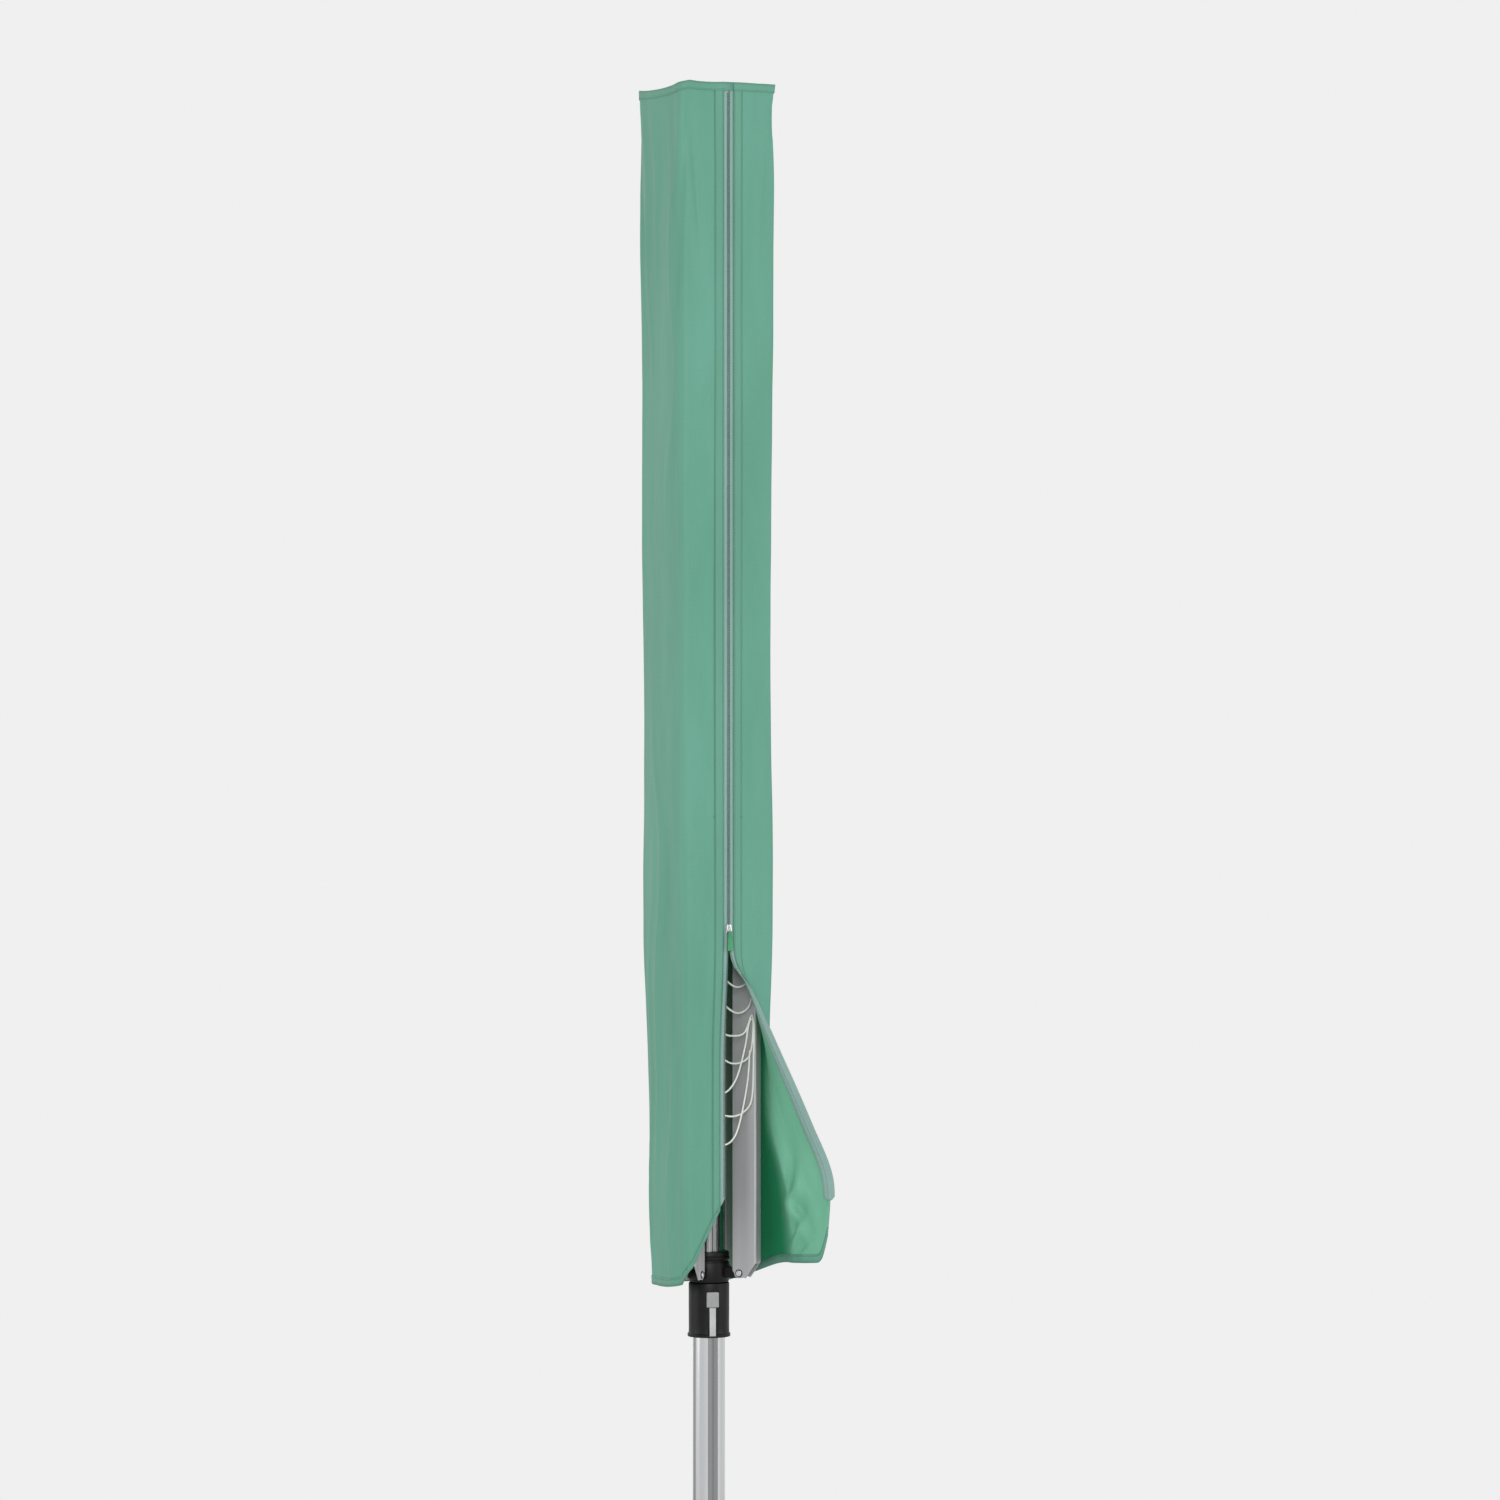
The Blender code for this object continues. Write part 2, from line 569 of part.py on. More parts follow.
def sheet_mesh(name, per_face=4, per_corner=3, per_flap=7):
    """The cover's sheet as a closed shell of even thickness."""
    bm = bmesh.new()
    count = 4 * per_face + 3 * per_corner + 1 + per_flap
    columns = []
    for i in range(count):
        line = []
        for height in row_heights(hem_at(hem_share(i, per_face, per_corner, per_flap))):
            place = section_at(height, per_face, per_corner, per_flap)[i]
            line.append(bm.verts.new((place.x, place.y, BOLT_Z + height)))
        columns.append(line)
    for left, right in zip(columns, columns[1:]):
        for row in range(LOWER_ROWS + UPPER_ROWS):
            bm.faces.new((right[row], left[row], left[row + 1], right[row + 1]))
    return solid_sheet(bm, name, CLOTH)


def solid_sheet(bm, name, thickness):
    """Thicken a sheet evenly to both sides of its middle surface."""
    bm.normal_update()
    fronts = list(bm.faces)
    edges = [e for e in bm.edges if e.is_boundary]
    normals = {v: v.normal.copy() for v in bm.verts}
    twins = {v: bm.verts.new(v.co - n * thickness / 2) for v, n in normals.items()}
    for v, n in normals.items():
        v.co += n * thickness / 2
    for face in fronts:
        bm.faces.new([twins[v] for v in reversed(face.verts)])
    for edge in edges:
        a, b = edge.verts
        bm.faces.new((a, b, twins[b], twins[a]))
    return finish_mesh(bm, name)


def build_cover():
    add("cover_shell", sheet_mesh("cover_shell"), "green_cloth")
    top = section_at(COVER_TOP - BOLT_Z, 4, 3, 4)
    middle = Vector((0, 0))
    inner = [middle + point * 0.955 for point in top]
    lid = column("cover_top", [(p.x, p.y) for p in reversed(inner)], COVER_TOP - 0.004, COVER_TOP - 0.0025)
    add("cover_top", lid, "green_cloth")


def zip_strip(name, side):
    """Tape beside the zip; it follows its sheet's edge and the flap where that swings out."""
    bm = bmesh.new()
    hem = HEM[0] if side < 0 else HEM[-1]
    grid = []
    for height in row_heights(hem):
        if height < TAPE_LOW:
            continue
        if side < 0:
            inner, outer = face_frame((-ZIP_HALF + TAPE_GAP, ZIP_OUT)), face_frame((-TAPE_GAP, ZIP_OUT))
        else:
            belly, edge = stations(height)[1:]
            run = (edge - belly).normalized()
            inner, outer = edge + run * TAPE_GAP, edge + run * (ZIP_HALF - TAPE_GAP)
        places = (inner, inner.lerp(outer, 0.5), outer)
        grid.append([bm.verts.new((p.x, p.y, BOLT_Z + height)) for p in places])
    for below, above in zip(grid, grid[1:]):
        for i in range(2):
            quad = (below[i], below[i + 1], above[i + 1], above[i])
            bm.faces.new(quad if side < 0 else tuple(reversed(quad)))
    return solid_sheet(bm, name, TAPE_T)


def build_zip():
    add("zip_tape_left", zip_strip("zip_tape_left", -1), "zip_tape")
    add("zip_tape_right", zip_strip("zip_tape_right", 1), "zip_tape")
    place = Matrix.Rotation(ZIP_TURN, 4, "Z") @ Matrix.Translation((ZIP_OUT, 0, SLIDER_Z))
    wedge = [(-0.0028, -0.006), (-0.0040, 0.001), (-0.0055, 0.008), (0.0055, 0.008), (0.0040, 0.001),
             (0.0028, -0.006)]
    slider = prism("zip_slider", wedge, 0.0016)
    slider.transform(Matrix.Translation((0.0026, 0, 0)) @ Matrix.Rotation(math.pi / 2, 4, "Z"))
    bar = prism("bar", [(0.003, -0.001), (0.0075, -0.001), (0.0075, 0.004), (0.003, 0.004)], 0.0012)
    slider = combined("zip_slider", slider, [("UNION", bar)])
    add("zip_slider", slider, "steel", place)
    tab = [(-0.0035, -0.034), (0.0035, -0.034), (0.0045, -0.030), (0.0030, -0.0022), (-0.0030, -0.0022),
           (-0.0045, -0.030)]
    pull = prism("zip_pull", tab, 0.0008)
    pull.transform(Matrix.Translation((0.0066, 0, 0)) @ Matrix.Rotation(math.pi / 2, 4, "Z"))
    add("zip_pull", pull, "green_plastic", place)


clear_scene()
build_lower_mast()
build_collar()
build_upper_mast()
build_hubs()
build_arms()
build_lines()
build_cover()
build_zip()
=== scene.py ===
import json
import math

import bmesh
import bpy
import numpy as np
from mathutils import Matrix, Vector, noise


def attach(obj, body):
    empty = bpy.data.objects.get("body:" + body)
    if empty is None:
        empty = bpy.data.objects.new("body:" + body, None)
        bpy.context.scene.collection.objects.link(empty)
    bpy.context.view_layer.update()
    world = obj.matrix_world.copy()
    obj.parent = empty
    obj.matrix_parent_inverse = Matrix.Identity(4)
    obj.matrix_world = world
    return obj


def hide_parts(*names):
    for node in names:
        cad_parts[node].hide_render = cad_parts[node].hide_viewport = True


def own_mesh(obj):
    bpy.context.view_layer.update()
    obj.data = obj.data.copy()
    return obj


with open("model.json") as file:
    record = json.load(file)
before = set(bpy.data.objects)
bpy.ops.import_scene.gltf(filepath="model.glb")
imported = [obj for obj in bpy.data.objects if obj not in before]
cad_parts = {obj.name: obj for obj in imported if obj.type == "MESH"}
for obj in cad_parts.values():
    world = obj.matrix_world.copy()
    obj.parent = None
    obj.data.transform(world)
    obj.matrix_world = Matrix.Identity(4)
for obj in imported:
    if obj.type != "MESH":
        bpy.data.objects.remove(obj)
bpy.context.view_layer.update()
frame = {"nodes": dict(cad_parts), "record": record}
print("frame loaded,", len(frame["nodes"]), "nodes")

boltZ = 0.780          # height of the arms' foot bolts, which the cover and the lines are measured from
zipTurn = math.radians(-45)   # plan direction that the zip faces
zipAlong = Vector((math.cos(zipTurn + math.pi / 2), math.sin(zipTurn + math.pi / 2), 0))
zipOut = Vector((math.cos(zipTurn), math.sin(zipTurn), 0))


def deselectAll():
    bpy.ops.object.select_all(action="DESELECT")


deselectAll()

# camera and room

studio = {
    "azimuth": 22.0,
    "distance": 8.0,
    "height": 1.588,
    "aside": 0.0636,      # the mast stands a little left of the middle
    "seen": 2.325,        # height of the view at the mast, in metres
    "floorRadius": 2.6,
    "paleWall": 0.87,     # how bright the room looks, and how much less of it lights the cloth
    "lessDiffuse": 0.47,
}


def makeCamera():
    turn = math.radians(studio["azimuth"])
    toward = Vector((math.sin(turn), -math.cos(turn), 0))
    right = Vector((math.cos(turn), math.sin(turn), 0))
    place = toward * studio["distance"] + right * studio["aside"] + Vector((0, 0, studio["height"]))
    bpy.ops.object.camera_add(location=place, rotation=(math.pi / 2, 0, turn))
    camera = bpy.context.object
    camera.data.sensor_width = 36
    camera.data.lens = 36 * studio["distance"] / studio["seen"]
    bpy.context.scene.camera = camera


makeCamera()
print("camera placed")


# materials

def hexColour(code):
    values = [int(code[i:i + 2], 16) / 255 for i in (1, 3, 5)]
    return tuple(v / 12.92 if v <= 0.04045 else ((v + 0.055) / 1.055) ** 2.4 for v in values) + (1.0,)


def addNode(tree, kind, settings=None, links=None):
    node = tree.nodes.new(kind)
    for key, value in (settings or {}).items():
        if isinstance(key, int) or key in node.inputs:
            node.inputs[key].default_value = value
        else:
            setattr(node, key, value)
    for key, source in (links or {}).items():
        tree.links.new(source, node.inputs[key])
    return node


def newMaterial(name, **sockets):
    made = bpy.data.materials.new(name)
    made.use_nodes = True
    shader = made.node_tree.nodes["Principled BSDF"]
    for key, value in sockets.items():
        shader.inputs[key.replace("_", " ")].default_value = value
    return made, made.node_tree, shader


def ramp(tree, source, stops):
    node = addNode(tree, "ShaderNodeValToRGB", links={"Fac": source})
    band = node.color_ramp.elements
    for i, (place, colour) in enumerate(stops):
        item = band[i] if i < 2 else band.new(place)
        item.position = place
        item.color = colour
    return node.outputs["Color"]


def extrudedAlloy(name, light, dark, roughness, drawPerMm=1.6, metallic=1.0, grooveRadius=None):
    # anodised 6060 aluminium, extruded: fine draw lines along its length, satin
    made, tree, shader = newMaterial(name, Metallic=metallic, Roughness=roughness)
    place = addNode(tree, "ShaderNodeTexCoord").outputs["Object"]
    lines = addNode(tree, "ShaderNodeMapping", {"Scale": (1000 * drawPerMm, 1000 * drawPerMm, 3.0)},
                    {"Vector": place}).outputs["Vector"]
    grain = addNode(tree, "ShaderNodeTexNoise", {"Scale": 1.0, "Detail": 3.0}, {"Vector": lines})
    broad = addNode(tree, "ShaderNodeMapping", {"Scale": (60.0, 60.0, 1.2)}, {"Vector": place}).outputs["Vector"]
    cloud = addNode(tree, "ShaderNodeTexNoise", {"Scale": 1.0, "Detail": 2.0}, {"Vector": broad})
    mixed = addNode(tree, "ShaderNodeMath", {"operation": "MULTIPLY_ADD", 1: 0.5},
                    {0: grain.outputs["Fac"], 2: cloud.outputs["Fac"]}).outputs[0]
    colour = ramp(tree, mixed, [(0.45, hexColour(dark)), (1.05, hexColour(light))])
    if grooveRadius:      # painted shade: the flutes are darkened towards their bottoms, standing for shade and dark reflections in them
        level = addNode(tree, "ShaderNodeMapping", {"Scale": (1, 1, 0)}, {"Vector": place}).outputs["Vector"]
        radius = addNode(tree, "ShaderNodeVectorMath", {"operation": "LENGTH"}, {0: level}).outputs["Value"]
        depth = addNode(tree, "ShaderNodeMapRange", {"From Min": grooveRadius - 0.0011, "From Max": grooveRadius},
                        {"Value": radius}).outputs["Result"]
        paintedGrooveShade = ramp(tree, depth, [(0.0, hexColour("#505050")), (1.0, hexColour("#FFFFFF")),
                                  (0.28, hexColour("#B4B4B4"))])
        colour = addNode(tree, "ShaderNodeMix", {"data_type": "RGBA", "blend_type": "MULTIPLY", "Factor": 1.0},
                         {6: colour, 7: paintedGrooveShade}).outputs[2]
    tree.links.new(colour, shader.inputs["Base Color"])
    rough = addNode(tree, "ShaderNodeMapRange", {"To Min": roughness - 0.07, "To Max": roughness + 0.09},
                    {"Value": cloud.outputs["Fac"]}).outputs["Result"]
    tree.links.new(rough, shader.inputs["Roughness"])
    bump = addNode(tree, "ShaderNodeBump", {"Strength": 0.10, "Distance": 0.00006},
                   {"Height": grain.outputs["Fac"]}).outputs["Normal"]
    tree.links.new(bump, shader.inputs["Normal"])
    return made


def mouldedPlastic(name, colour, worn, roughness, grainMm=0.9):
    # glass-filled nylon, spark-eroded mould: fine matt grain, slightly paler where handled
    made, tree, shader = newMaterial(name, Roughness=roughness)
    place = addNode(tree, "ShaderNodeTexCoord").outputs["Object"]
    grain = addNode(tree, "ShaderNodeTexNoise", {"Scale": 1000 / grainMm, "Detail": 2.0}, {"Vector": place})
    cloud = addNode(tree, "ShaderNodeTexNoise", {"Scale": 45.0, "Detail": 3.0}, {"Vector": place})
    tint = ramp(tree, cloud.outputs["Fac"], [(0.40, hexColour(colour)), (0.75, hexColour(worn))])
    tree.links.new(tint, shader.inputs["Base Color"])
    rough = addNode(tree, "ShaderNodeMapRange", {"To Min": roughness - 0.08, "To Max": roughness + 0.10},
                    {"Value": cloud.outputs["Fac"]}).outputs["Result"]
    tree.links.new(rough, shader.inputs["Roughness"])
    bump = addNode(tree, "ShaderNodeBump", {"Strength": 0.18, "Distance": 0.0001},
                   {"Height": grain.outputs["Fac"]}).outputs["Normal"]
    tree.links.new(bump, shader.inputs["Normal"])
    return made


# the glow stands for daylight through the cloth; between these two distances round the sleeve, in metres,
# its inside turns into the flap
insideLook = {"glow": 0.13, "flapFrom": 0.331, "flapTo": 0.349}


def wovenCloth(name, light, dark, roughness, threadMm=1.1, weave=0.14, sheen=0.05, glow=None, deep=None):
    # PU-coated polyester; its 0.3 mm threads are drawn 1.1 mm wide so that they show
    made, tree, shader = newMaterial(name, Roughness=roughness, Sheen_Weight=sheen, Sheen_Roughness=0.4,
                                     Specular_IOR_Level=0.36)
    if glow:
        shader.inputs["Emission Color"].default_value = hexColour(glow)
        shader.inputs["Emission Strength"].default_value = insideLook["glow"]
    uv = addNode(tree, "ShaderNodeTexCoord").outputs["UV"]
    place = addNode(tree, "ShaderNodeTexCoord").outputs["Object"]
    threads = []
    for direction in ("X", "Y"):
        threads.append(addNode(tree, "ShaderNodeTexWave",
                               {"Scale": 1000 / threadMm / 20, "bands_direction": direction, "Detail": 0.0},
                               {"Vector": uv}).outputs["Fac"])
    cross = addNode(tree, "ShaderNodeMath", {"operation": "MULTIPLY"}, {0: threads[0], 1: threads[1]}).outputs[0]
    # painted shade: long upright streaks of darker and lighter green stand for the shading of soft creases; the same
    # noise also gives the cloth a soft bump
    long = addNode(tree, "ShaderNodeMapping", {"Scale": (9.0, 9.0, 2.2)}, {"Vector": place}).outputs["Vector"]
    shade = addNode(tree, "ShaderNodeTexNoise", {"Scale": 1.0, "Detail": 5.0, "Roughness": 0.55}, {"Vector": long})
    mixed = addNode(tree, "ShaderNodeMath", {"operation": "MULTIPLY_ADD", 1: 0.035},
                    {0: cross, 2: shade.outputs["Fac"]}).outputs[0]
    tint = ramp(tree, mixed, [(0.25, hexColour(dark)), (0.72, hexColour(light))])
    if deep:      # a painted shade: deeper green inside the sleeve, where folds keep the light out
        along = addNode(tree, "ShaderNodeSeparateXYZ", links={"Vector": uv}).outputs["X"]
        faded = addNode(tree, "ShaderNodeMapRange",
                        {"From Min": insideLook["flapFrom"], "From Max": insideLook["flapTo"],
                         "interpolation_type": "SMOOTHSTEP"},
                        {"Value": along}).outputs["Result"]
        tint = addNode(tree, "ShaderNodeMix", {"data_type": "RGBA", 6: hexColour(deep)},
                       {0: faded, 7: tint}).outputs[2]
    tree.links.new(tint, shader.inputs["Base Color"])
    bump = addNode(tree, "ShaderNodeBump", {"Strength": weave, "Distance": 0.0004},
                   {"Height": cross}).outputs["Normal"]
    soft = addNode(tree, "ShaderNodeBump", {"Strength": 0.25, "Distance": 0.0025},
                   {"Height": shade.outputs["Fac"], "Normal": bump}).outputs["Normal"]
    tree.links.new(soft, shader.inputs["Normal"])
    return made


armAlloy = extrudedAlloy("armAnodisedAluminium", "#B9B9BB", "#A4A4A6", 0.50, metallic=0.45)
mastAlloy = extrudedAlloy("mastAnodisedAluminium", "#D6D7D8", "#BDBEC0", 0.18, grooveRadius=0.0250)
upperAlloy = extrudedAlloy("upperMastAnodisedAluminium", "#DCDDDE", "#C4C5C7", 0.20, grooveRadius=0.0218)
zincSteel = extrudedAlloy("zincPlatedSteel", "#DEDEE0", "#BCBCBE", 0.28, 0.8)
blackNylon = mouldedPlastic("blackMouldedNylon", "#060607", "#0E0E0F", 0.44)
blackNylon.node_tree.nodes["Principled BSDF"].inputs["Specular IOR Level"].default_value = 0.22
greyNylon = mouldedPlastic("greyMouldedNylon", "#959696", "#A6A7A7", 0.46)
paleNylon = mouldedPlastic("paleMouldedNylon", "#AFB0B0", "#BFC0C0", 0.42, 1.8)
pullPlastic = mouldedPlastic("greenPullRubber", "#2F8757", "#45996B", 0.50)
coverOutside = wovenCloth("coverPolyesterOutside", "#629F8B", "#55917B", 0.60)
# painted light: the inside of the cover is coloured paler and greener than the outside, standing for daylight through
# the cloth
coverInside = wovenCloth("coverPolyesterInside", "#6DA98F", "#5F9A80", 0.54, glow="#0C8F58", deep="#0E6E47")
hemCloth = wovenCloth("coverHemPolyester", "#629C88", "#568E79", 0.58)
tapeCloth = wovenCloth("zipTapePolyester", "#8DAEA6", "#7D9D96", 0.78, 1.3, 0.4, 0.3)
coilNylon = mouldedPlastic("zipCoilNylon", "#4A625C", "#57716A", 0.46)
threadCotton = mouldedPlastic("sewingThread", "#42806B", "#4F8D78", 0.70)
lineSheath = mouldedPlastic("lineVinylSheath", "#E0E3DC", "#ECEEE8", 0.38)
print("materials made")

finishes = {"mast_tube": mastAlloy, "arm_alloy": armAlloy, "black_plastic": blackNylon, "grey_plastic": greyNylon,
            "steel": zincSteel}
for part in frame["record"]["subparts"]:
    if part["material_slot"] in finishes:
        for holder in frame["nodes"][part["node"]].material_slots:
            holder.material = finishes[part["material_slot"]]


# washing line, one length on each side; along the side, out from the mast, up from the foot bolts

lineStyle = {"radius": 0.0015, "steps": 6}
lineRoute = [
    (-0.0340, 0.0576, 0.545), (-0.0250, 0.0600, 0.500), (-0.0020, 0.0625, 0.459), (0.0200, 0.0630, 0.443),
    (0.0400, 0.0638, 0.452), (0.0448, 0.0650, 0.470), (0.0455, 0.0652, 0.440),
    (0.0400, 0.0630, 0.412), (0.0200, 0.0618, 0.403), (-0.0040, 0.0612, 0.420), (-0.0280, 0.0590, 0.452),
    (-0.0370, 0.0580, 0.440), (-0.0250, 0.0605, 0.394), (-0.0020, 0.0640, 0.372), (0.0150, 0.0645, 0.368),
    (0.0330, 0.0640, 0.373), (0.0445, 0.0652, 0.400), (0.0462, 0.0656, 0.372),
    (0.0400, 0.0630, 0.335), (0.0160, 0.0620, 0.325), (-0.0060, 0.0615, 0.337), (-0.0330, 0.0585, 0.375),
    (-0.0370, 0.0580, 0.340), (-0.0240, 0.0605, 0.293), (-0.0030, 0.0645, 0.280), (0.0180, 0.0650, 0.301),
    (0.0330, 0.0650, 0.350), (0.0385, 0.0655, 0.383), (0.0435, 0.0657, 0.393), (0.0480, 0.0657, 0.384),
    (0.0472, 0.0653, 0.330),
    (0.0445, 0.0645, 0.270), (0.0300, 0.0625, 0.249), (0.0080, 0.0615, 0.244), (-0.0150, 0.0600, 0.256),
    (-0.0340, 0.0583, 0.300), (-0.0360, 0.0580, 0.260), (-0.0220, 0.0610, 0.212), (-0.0030, 0.0648, 0.200),
    (0.0190, 0.0650, 0.219), (0.0360, 0.0655, 0.290), (0.0410, 0.0655, 0.345),
]


def smoothRoute(points, steps):
    ends = [points[0] * 2 - points[1]] + points + [points[-1] * 2 - points[-2]]
    curve = []
    for k in range(1, len(ends) - 2):
        a, b, c, d = ends[k - 1:k + 3]
        for i in range(steps):
            t = i / steps
            curve.append(0.5 * (2 * b + (c - a) * t + (2 * a - 5 * b + 4 * c - d) * t * t
                                + (3 * b - a - 3 * c + d) * t ** 3))
    return curve + [points[-1]]


def makeLines():
    for index in range(4):
        turn = index * math.pi / 2
        points = []
        for s, n, h in lineRoute:
            place = zipAlong * s + zipOut * n + Vector((0, 0, boltZ + h))
            points.append(Vector((place.x * math.cos(turn) - place.y * math.sin(turn),
                                  place.x * math.sin(turn) + place.y * math.cos(turn), place.z)))
        route = smoothRoute(points, lineStyle["steps"])
        curve = bpy.data.curves.new(f"washingLine{index + 1}", "CURVE")
        curve.dimensions = "3D"
        curve.bevel_depth = lineStyle["radius"]
        curve.bevel_resolution = 4
        curve.use_fill_caps = True
        spline = curve.splines.new("POLY")
        spline.points.add(len(route) - 1)
        for slot, place in zip(spline.points, route):
            slot.co = (*place, 1)
        piece = bpy.data.objects.new(f"washingLine{index + 1}", curve)
        bpy.context.scene.collection.objects.link(piece)
        piece.data.materials.append(lineSheath)
        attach(piece, f"arm_{index + 1}")
        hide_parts(f"line_{index + 1}")


makeLines()


# mast, collar, latch, hub and bolts

mast = {
    "flutes": 4,
    "perFlute": 60,
    "firstFlute": math.radians(-52.4),
    "halfFlute": 13,      # of the steps that make up one flute and its land
    "depth": 0.00080,
    "middleDepth": 0.00110,
    "wall": 0.0009,
}


def finishPiece(piece, name, material, body, slot, *nodes, angle=32):
    deselectAll()
    piece.select_set(True)
    bpy.context.view_layer.objects.active = piece
    bpy.ops.object.transform_apply(location=True, rotation=True, scale=True)
    bpy.ops.object.shade_smooth_by_angle(angle=math.radians(angle))
    piece.name = name
    piece.data.materials.clear()
    piece.data.materials.append(material)
    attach(piece, body)
    if nodes:
        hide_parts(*nodes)


def flutedTube(name, radius, low, high, material, body, node):
    deselectAll()
    around = mast["flutes"] * mast["perFlute"]
    bpy.ops.mesh.primitive_cylinder_add(vertices=around, radius=radius, depth=high - low, end_fill_type="NOTHING",
                                        location=(0, 0, (low + high) / 2))
    tube = bpy.context.object
    bpy.ops.object.transform_apply(location=True)
    for vert in tube.data.vertices:
        count = round((math.atan2(vert.co.y, vert.co.x) - mast["firstFlute"]) / math.tau * around)
        step = min(count % mast["perFlute"], -count % mast["perFlute"])
        depth = 0.0 if step >= mast["halfFlute"] else mast["depth"]
        reach = radius - (depth if step else mast["middleDepth"])
        turned = mast["firstFlute"] + count * math.tau / around
        vert.co.x, vert.co.y = reach * math.cos(turned), reach * math.sin(turned)
    solid = tube.modifiers.new("wall", "SOLIDIFY")
    solid.thickness = mast["wall"]
    solid.offset = -1
    bpy.ops.object.modifier_apply(modifier=solid.name)
    finishPiece(tube, name, material, body, "mast_tube", node, angle=12)


def lathe(outline, segments=96):
    # a closed outline in the XZ plane, spun round the mast's axis
    deselectAll()
    bpy.ops.mesh.primitive_circle_add(vertices=len(outline), radius=1)
    piece = bpy.context.object
    for vert, (r, z) in zip(piece.data.vertices, outline):
        vert.co = (r / 1000, 0, z / 1000)
    bpy.ops.object.mode_set(mode="EDIT")
    bpy.ops.mesh.select_all(action="SELECT")
    bpy.ops.mesh.spin(steps=segments, angle=math.tau, center=(0, 0, 0), axis=(0, 0, 1))
    bpy.ops.mesh.select_all(action="SELECT")
    bpy.ops.mesh.remove_doubles(threshold=0.00001)
    bpy.ops.mesh.normals_make_consistent(inside=False)
    bpy.ops.object.mode_set(mode="OBJECT")
    return piece


def softBlock(size, soft, segments=3, location=(0, 0, 0), turn=0.0):
    # a block in millimetres, its edges rounded, put in place and turned round the mast
    deselectAll()
    bpy.ops.mesh.primitive_cube_add(size=1)
    block = bpy.context.object
    block.scale = [v / 1000 for v in size]
    bpy.ops.object.transform_apply(scale=True)
    if soft:
        bpy.ops.object.mode_set(mode="EDIT")
        bpy.ops.mesh.select_all(action="SELECT")
        bpy.ops.mesh.bevel(offset=soft / 1000, segments=segments, affect="EDGES")
        bpy.ops.object.mode_set(mode="OBJECT")
    block.location = Vector(location) / 1000
    bpy.ops.object.transform_apply(location=True)
    block.rotation_euler = (0, 0, turn)
    bpy.ops.object.transform_apply(rotation=True)
    return block


def combine(piece, tool, operation):
    step = piece.modifiers.new("cut", "BOOLEAN")
    step.object = tool
    step.operation = operation
    deselectAll()
    bpy.context.view_layer.objects.active = piece
    bpy.ops.object.modifier_apply(modifier=step.name)
    bpy.data.objects.remove(tool)


def joined(pieces):
    deselectAll()
    for piece in pieces:
        piece.select_set(True)
    bpy.context.view_layer.objects.active = pieces[0]
    bpy.ops.object.join()
    return bpy.context.object


latch = {"turn": math.radians(-57), "buttonZ": 739.0, "stripZ": 704.4, "buttonOut": 31.9, "stripOut": 31.0}


def makeCollar():
    collar = lathe([(25.3, 680.0), (32.5, 680.0), (33.2, 680.7), (33.2, 684.4), (32.6, 685.2), (31.9, 685.5),
                    (31.5, 686.6), (31.3, 694.0), (31.5, 725.0), (31.5, 761.4), (31.1, 763.0), (30.2, 763.8),
                    (22.5, 763.8), (22.5, 745.4), (25.3, 745.4)])
    combine(collar, softBlock((12.8, 20.4, 25.2), 0, location=(33.6, 0, latch["buttonZ"]), turn=latch["turn"]),
            "DIFFERENCE")
    combine(collar, softBlock((12.8, 11.2, 46.6), 0, location=(35.4, 0, 704.0), turn=latch["turn"]), "DIFFERENCE")
    finishPiece(collar, "mastCollar", blackNylon, "lower_mast", "black_plastic", "mast_collar")
    guides = [softBlock((2.6, 1.7, 36.0), 0.4, 2, (31.2, side * 6.6, 703.0), latch["turn"]) for side in (-1, 1)]
    guides.append(softBlock((3.4, 15.2, 2.6), 0.5, 2, (31.7, 0, 681.4), latch["turn"]))
    finishPiece(joined(guides), "latchGuide", blackNylon, "lower_mast", "black_plastic")
    button = softBlock((4.2, 19.2, 24.0), 1.9, 4, (latch["buttonOut"], 0, latch["buttonZ"]), latch["turn"])
    finishPiece(button, "latchButton", greyNylon, "latch_button", "grey_plastic", "latch_button")
    strip = softBlock((3.0, 10.0, 44.2), 0.7, 3, (latch["stripOut"], 0, latch["stripZ"]), latch["turn"])
    finishPiece(strip, "latchStrip", paleNylon, "lower_mast", "grey_plastic", "latch_strip")


# in millimetres: foot bolts' distance from the mast, each ear's half width, half height and inner end
hub = {"pivot": 54.6, "lugHalf": 8.7, "lugTip": 7.8, "lugRoot": 24.4, "boltZ": 780.0}


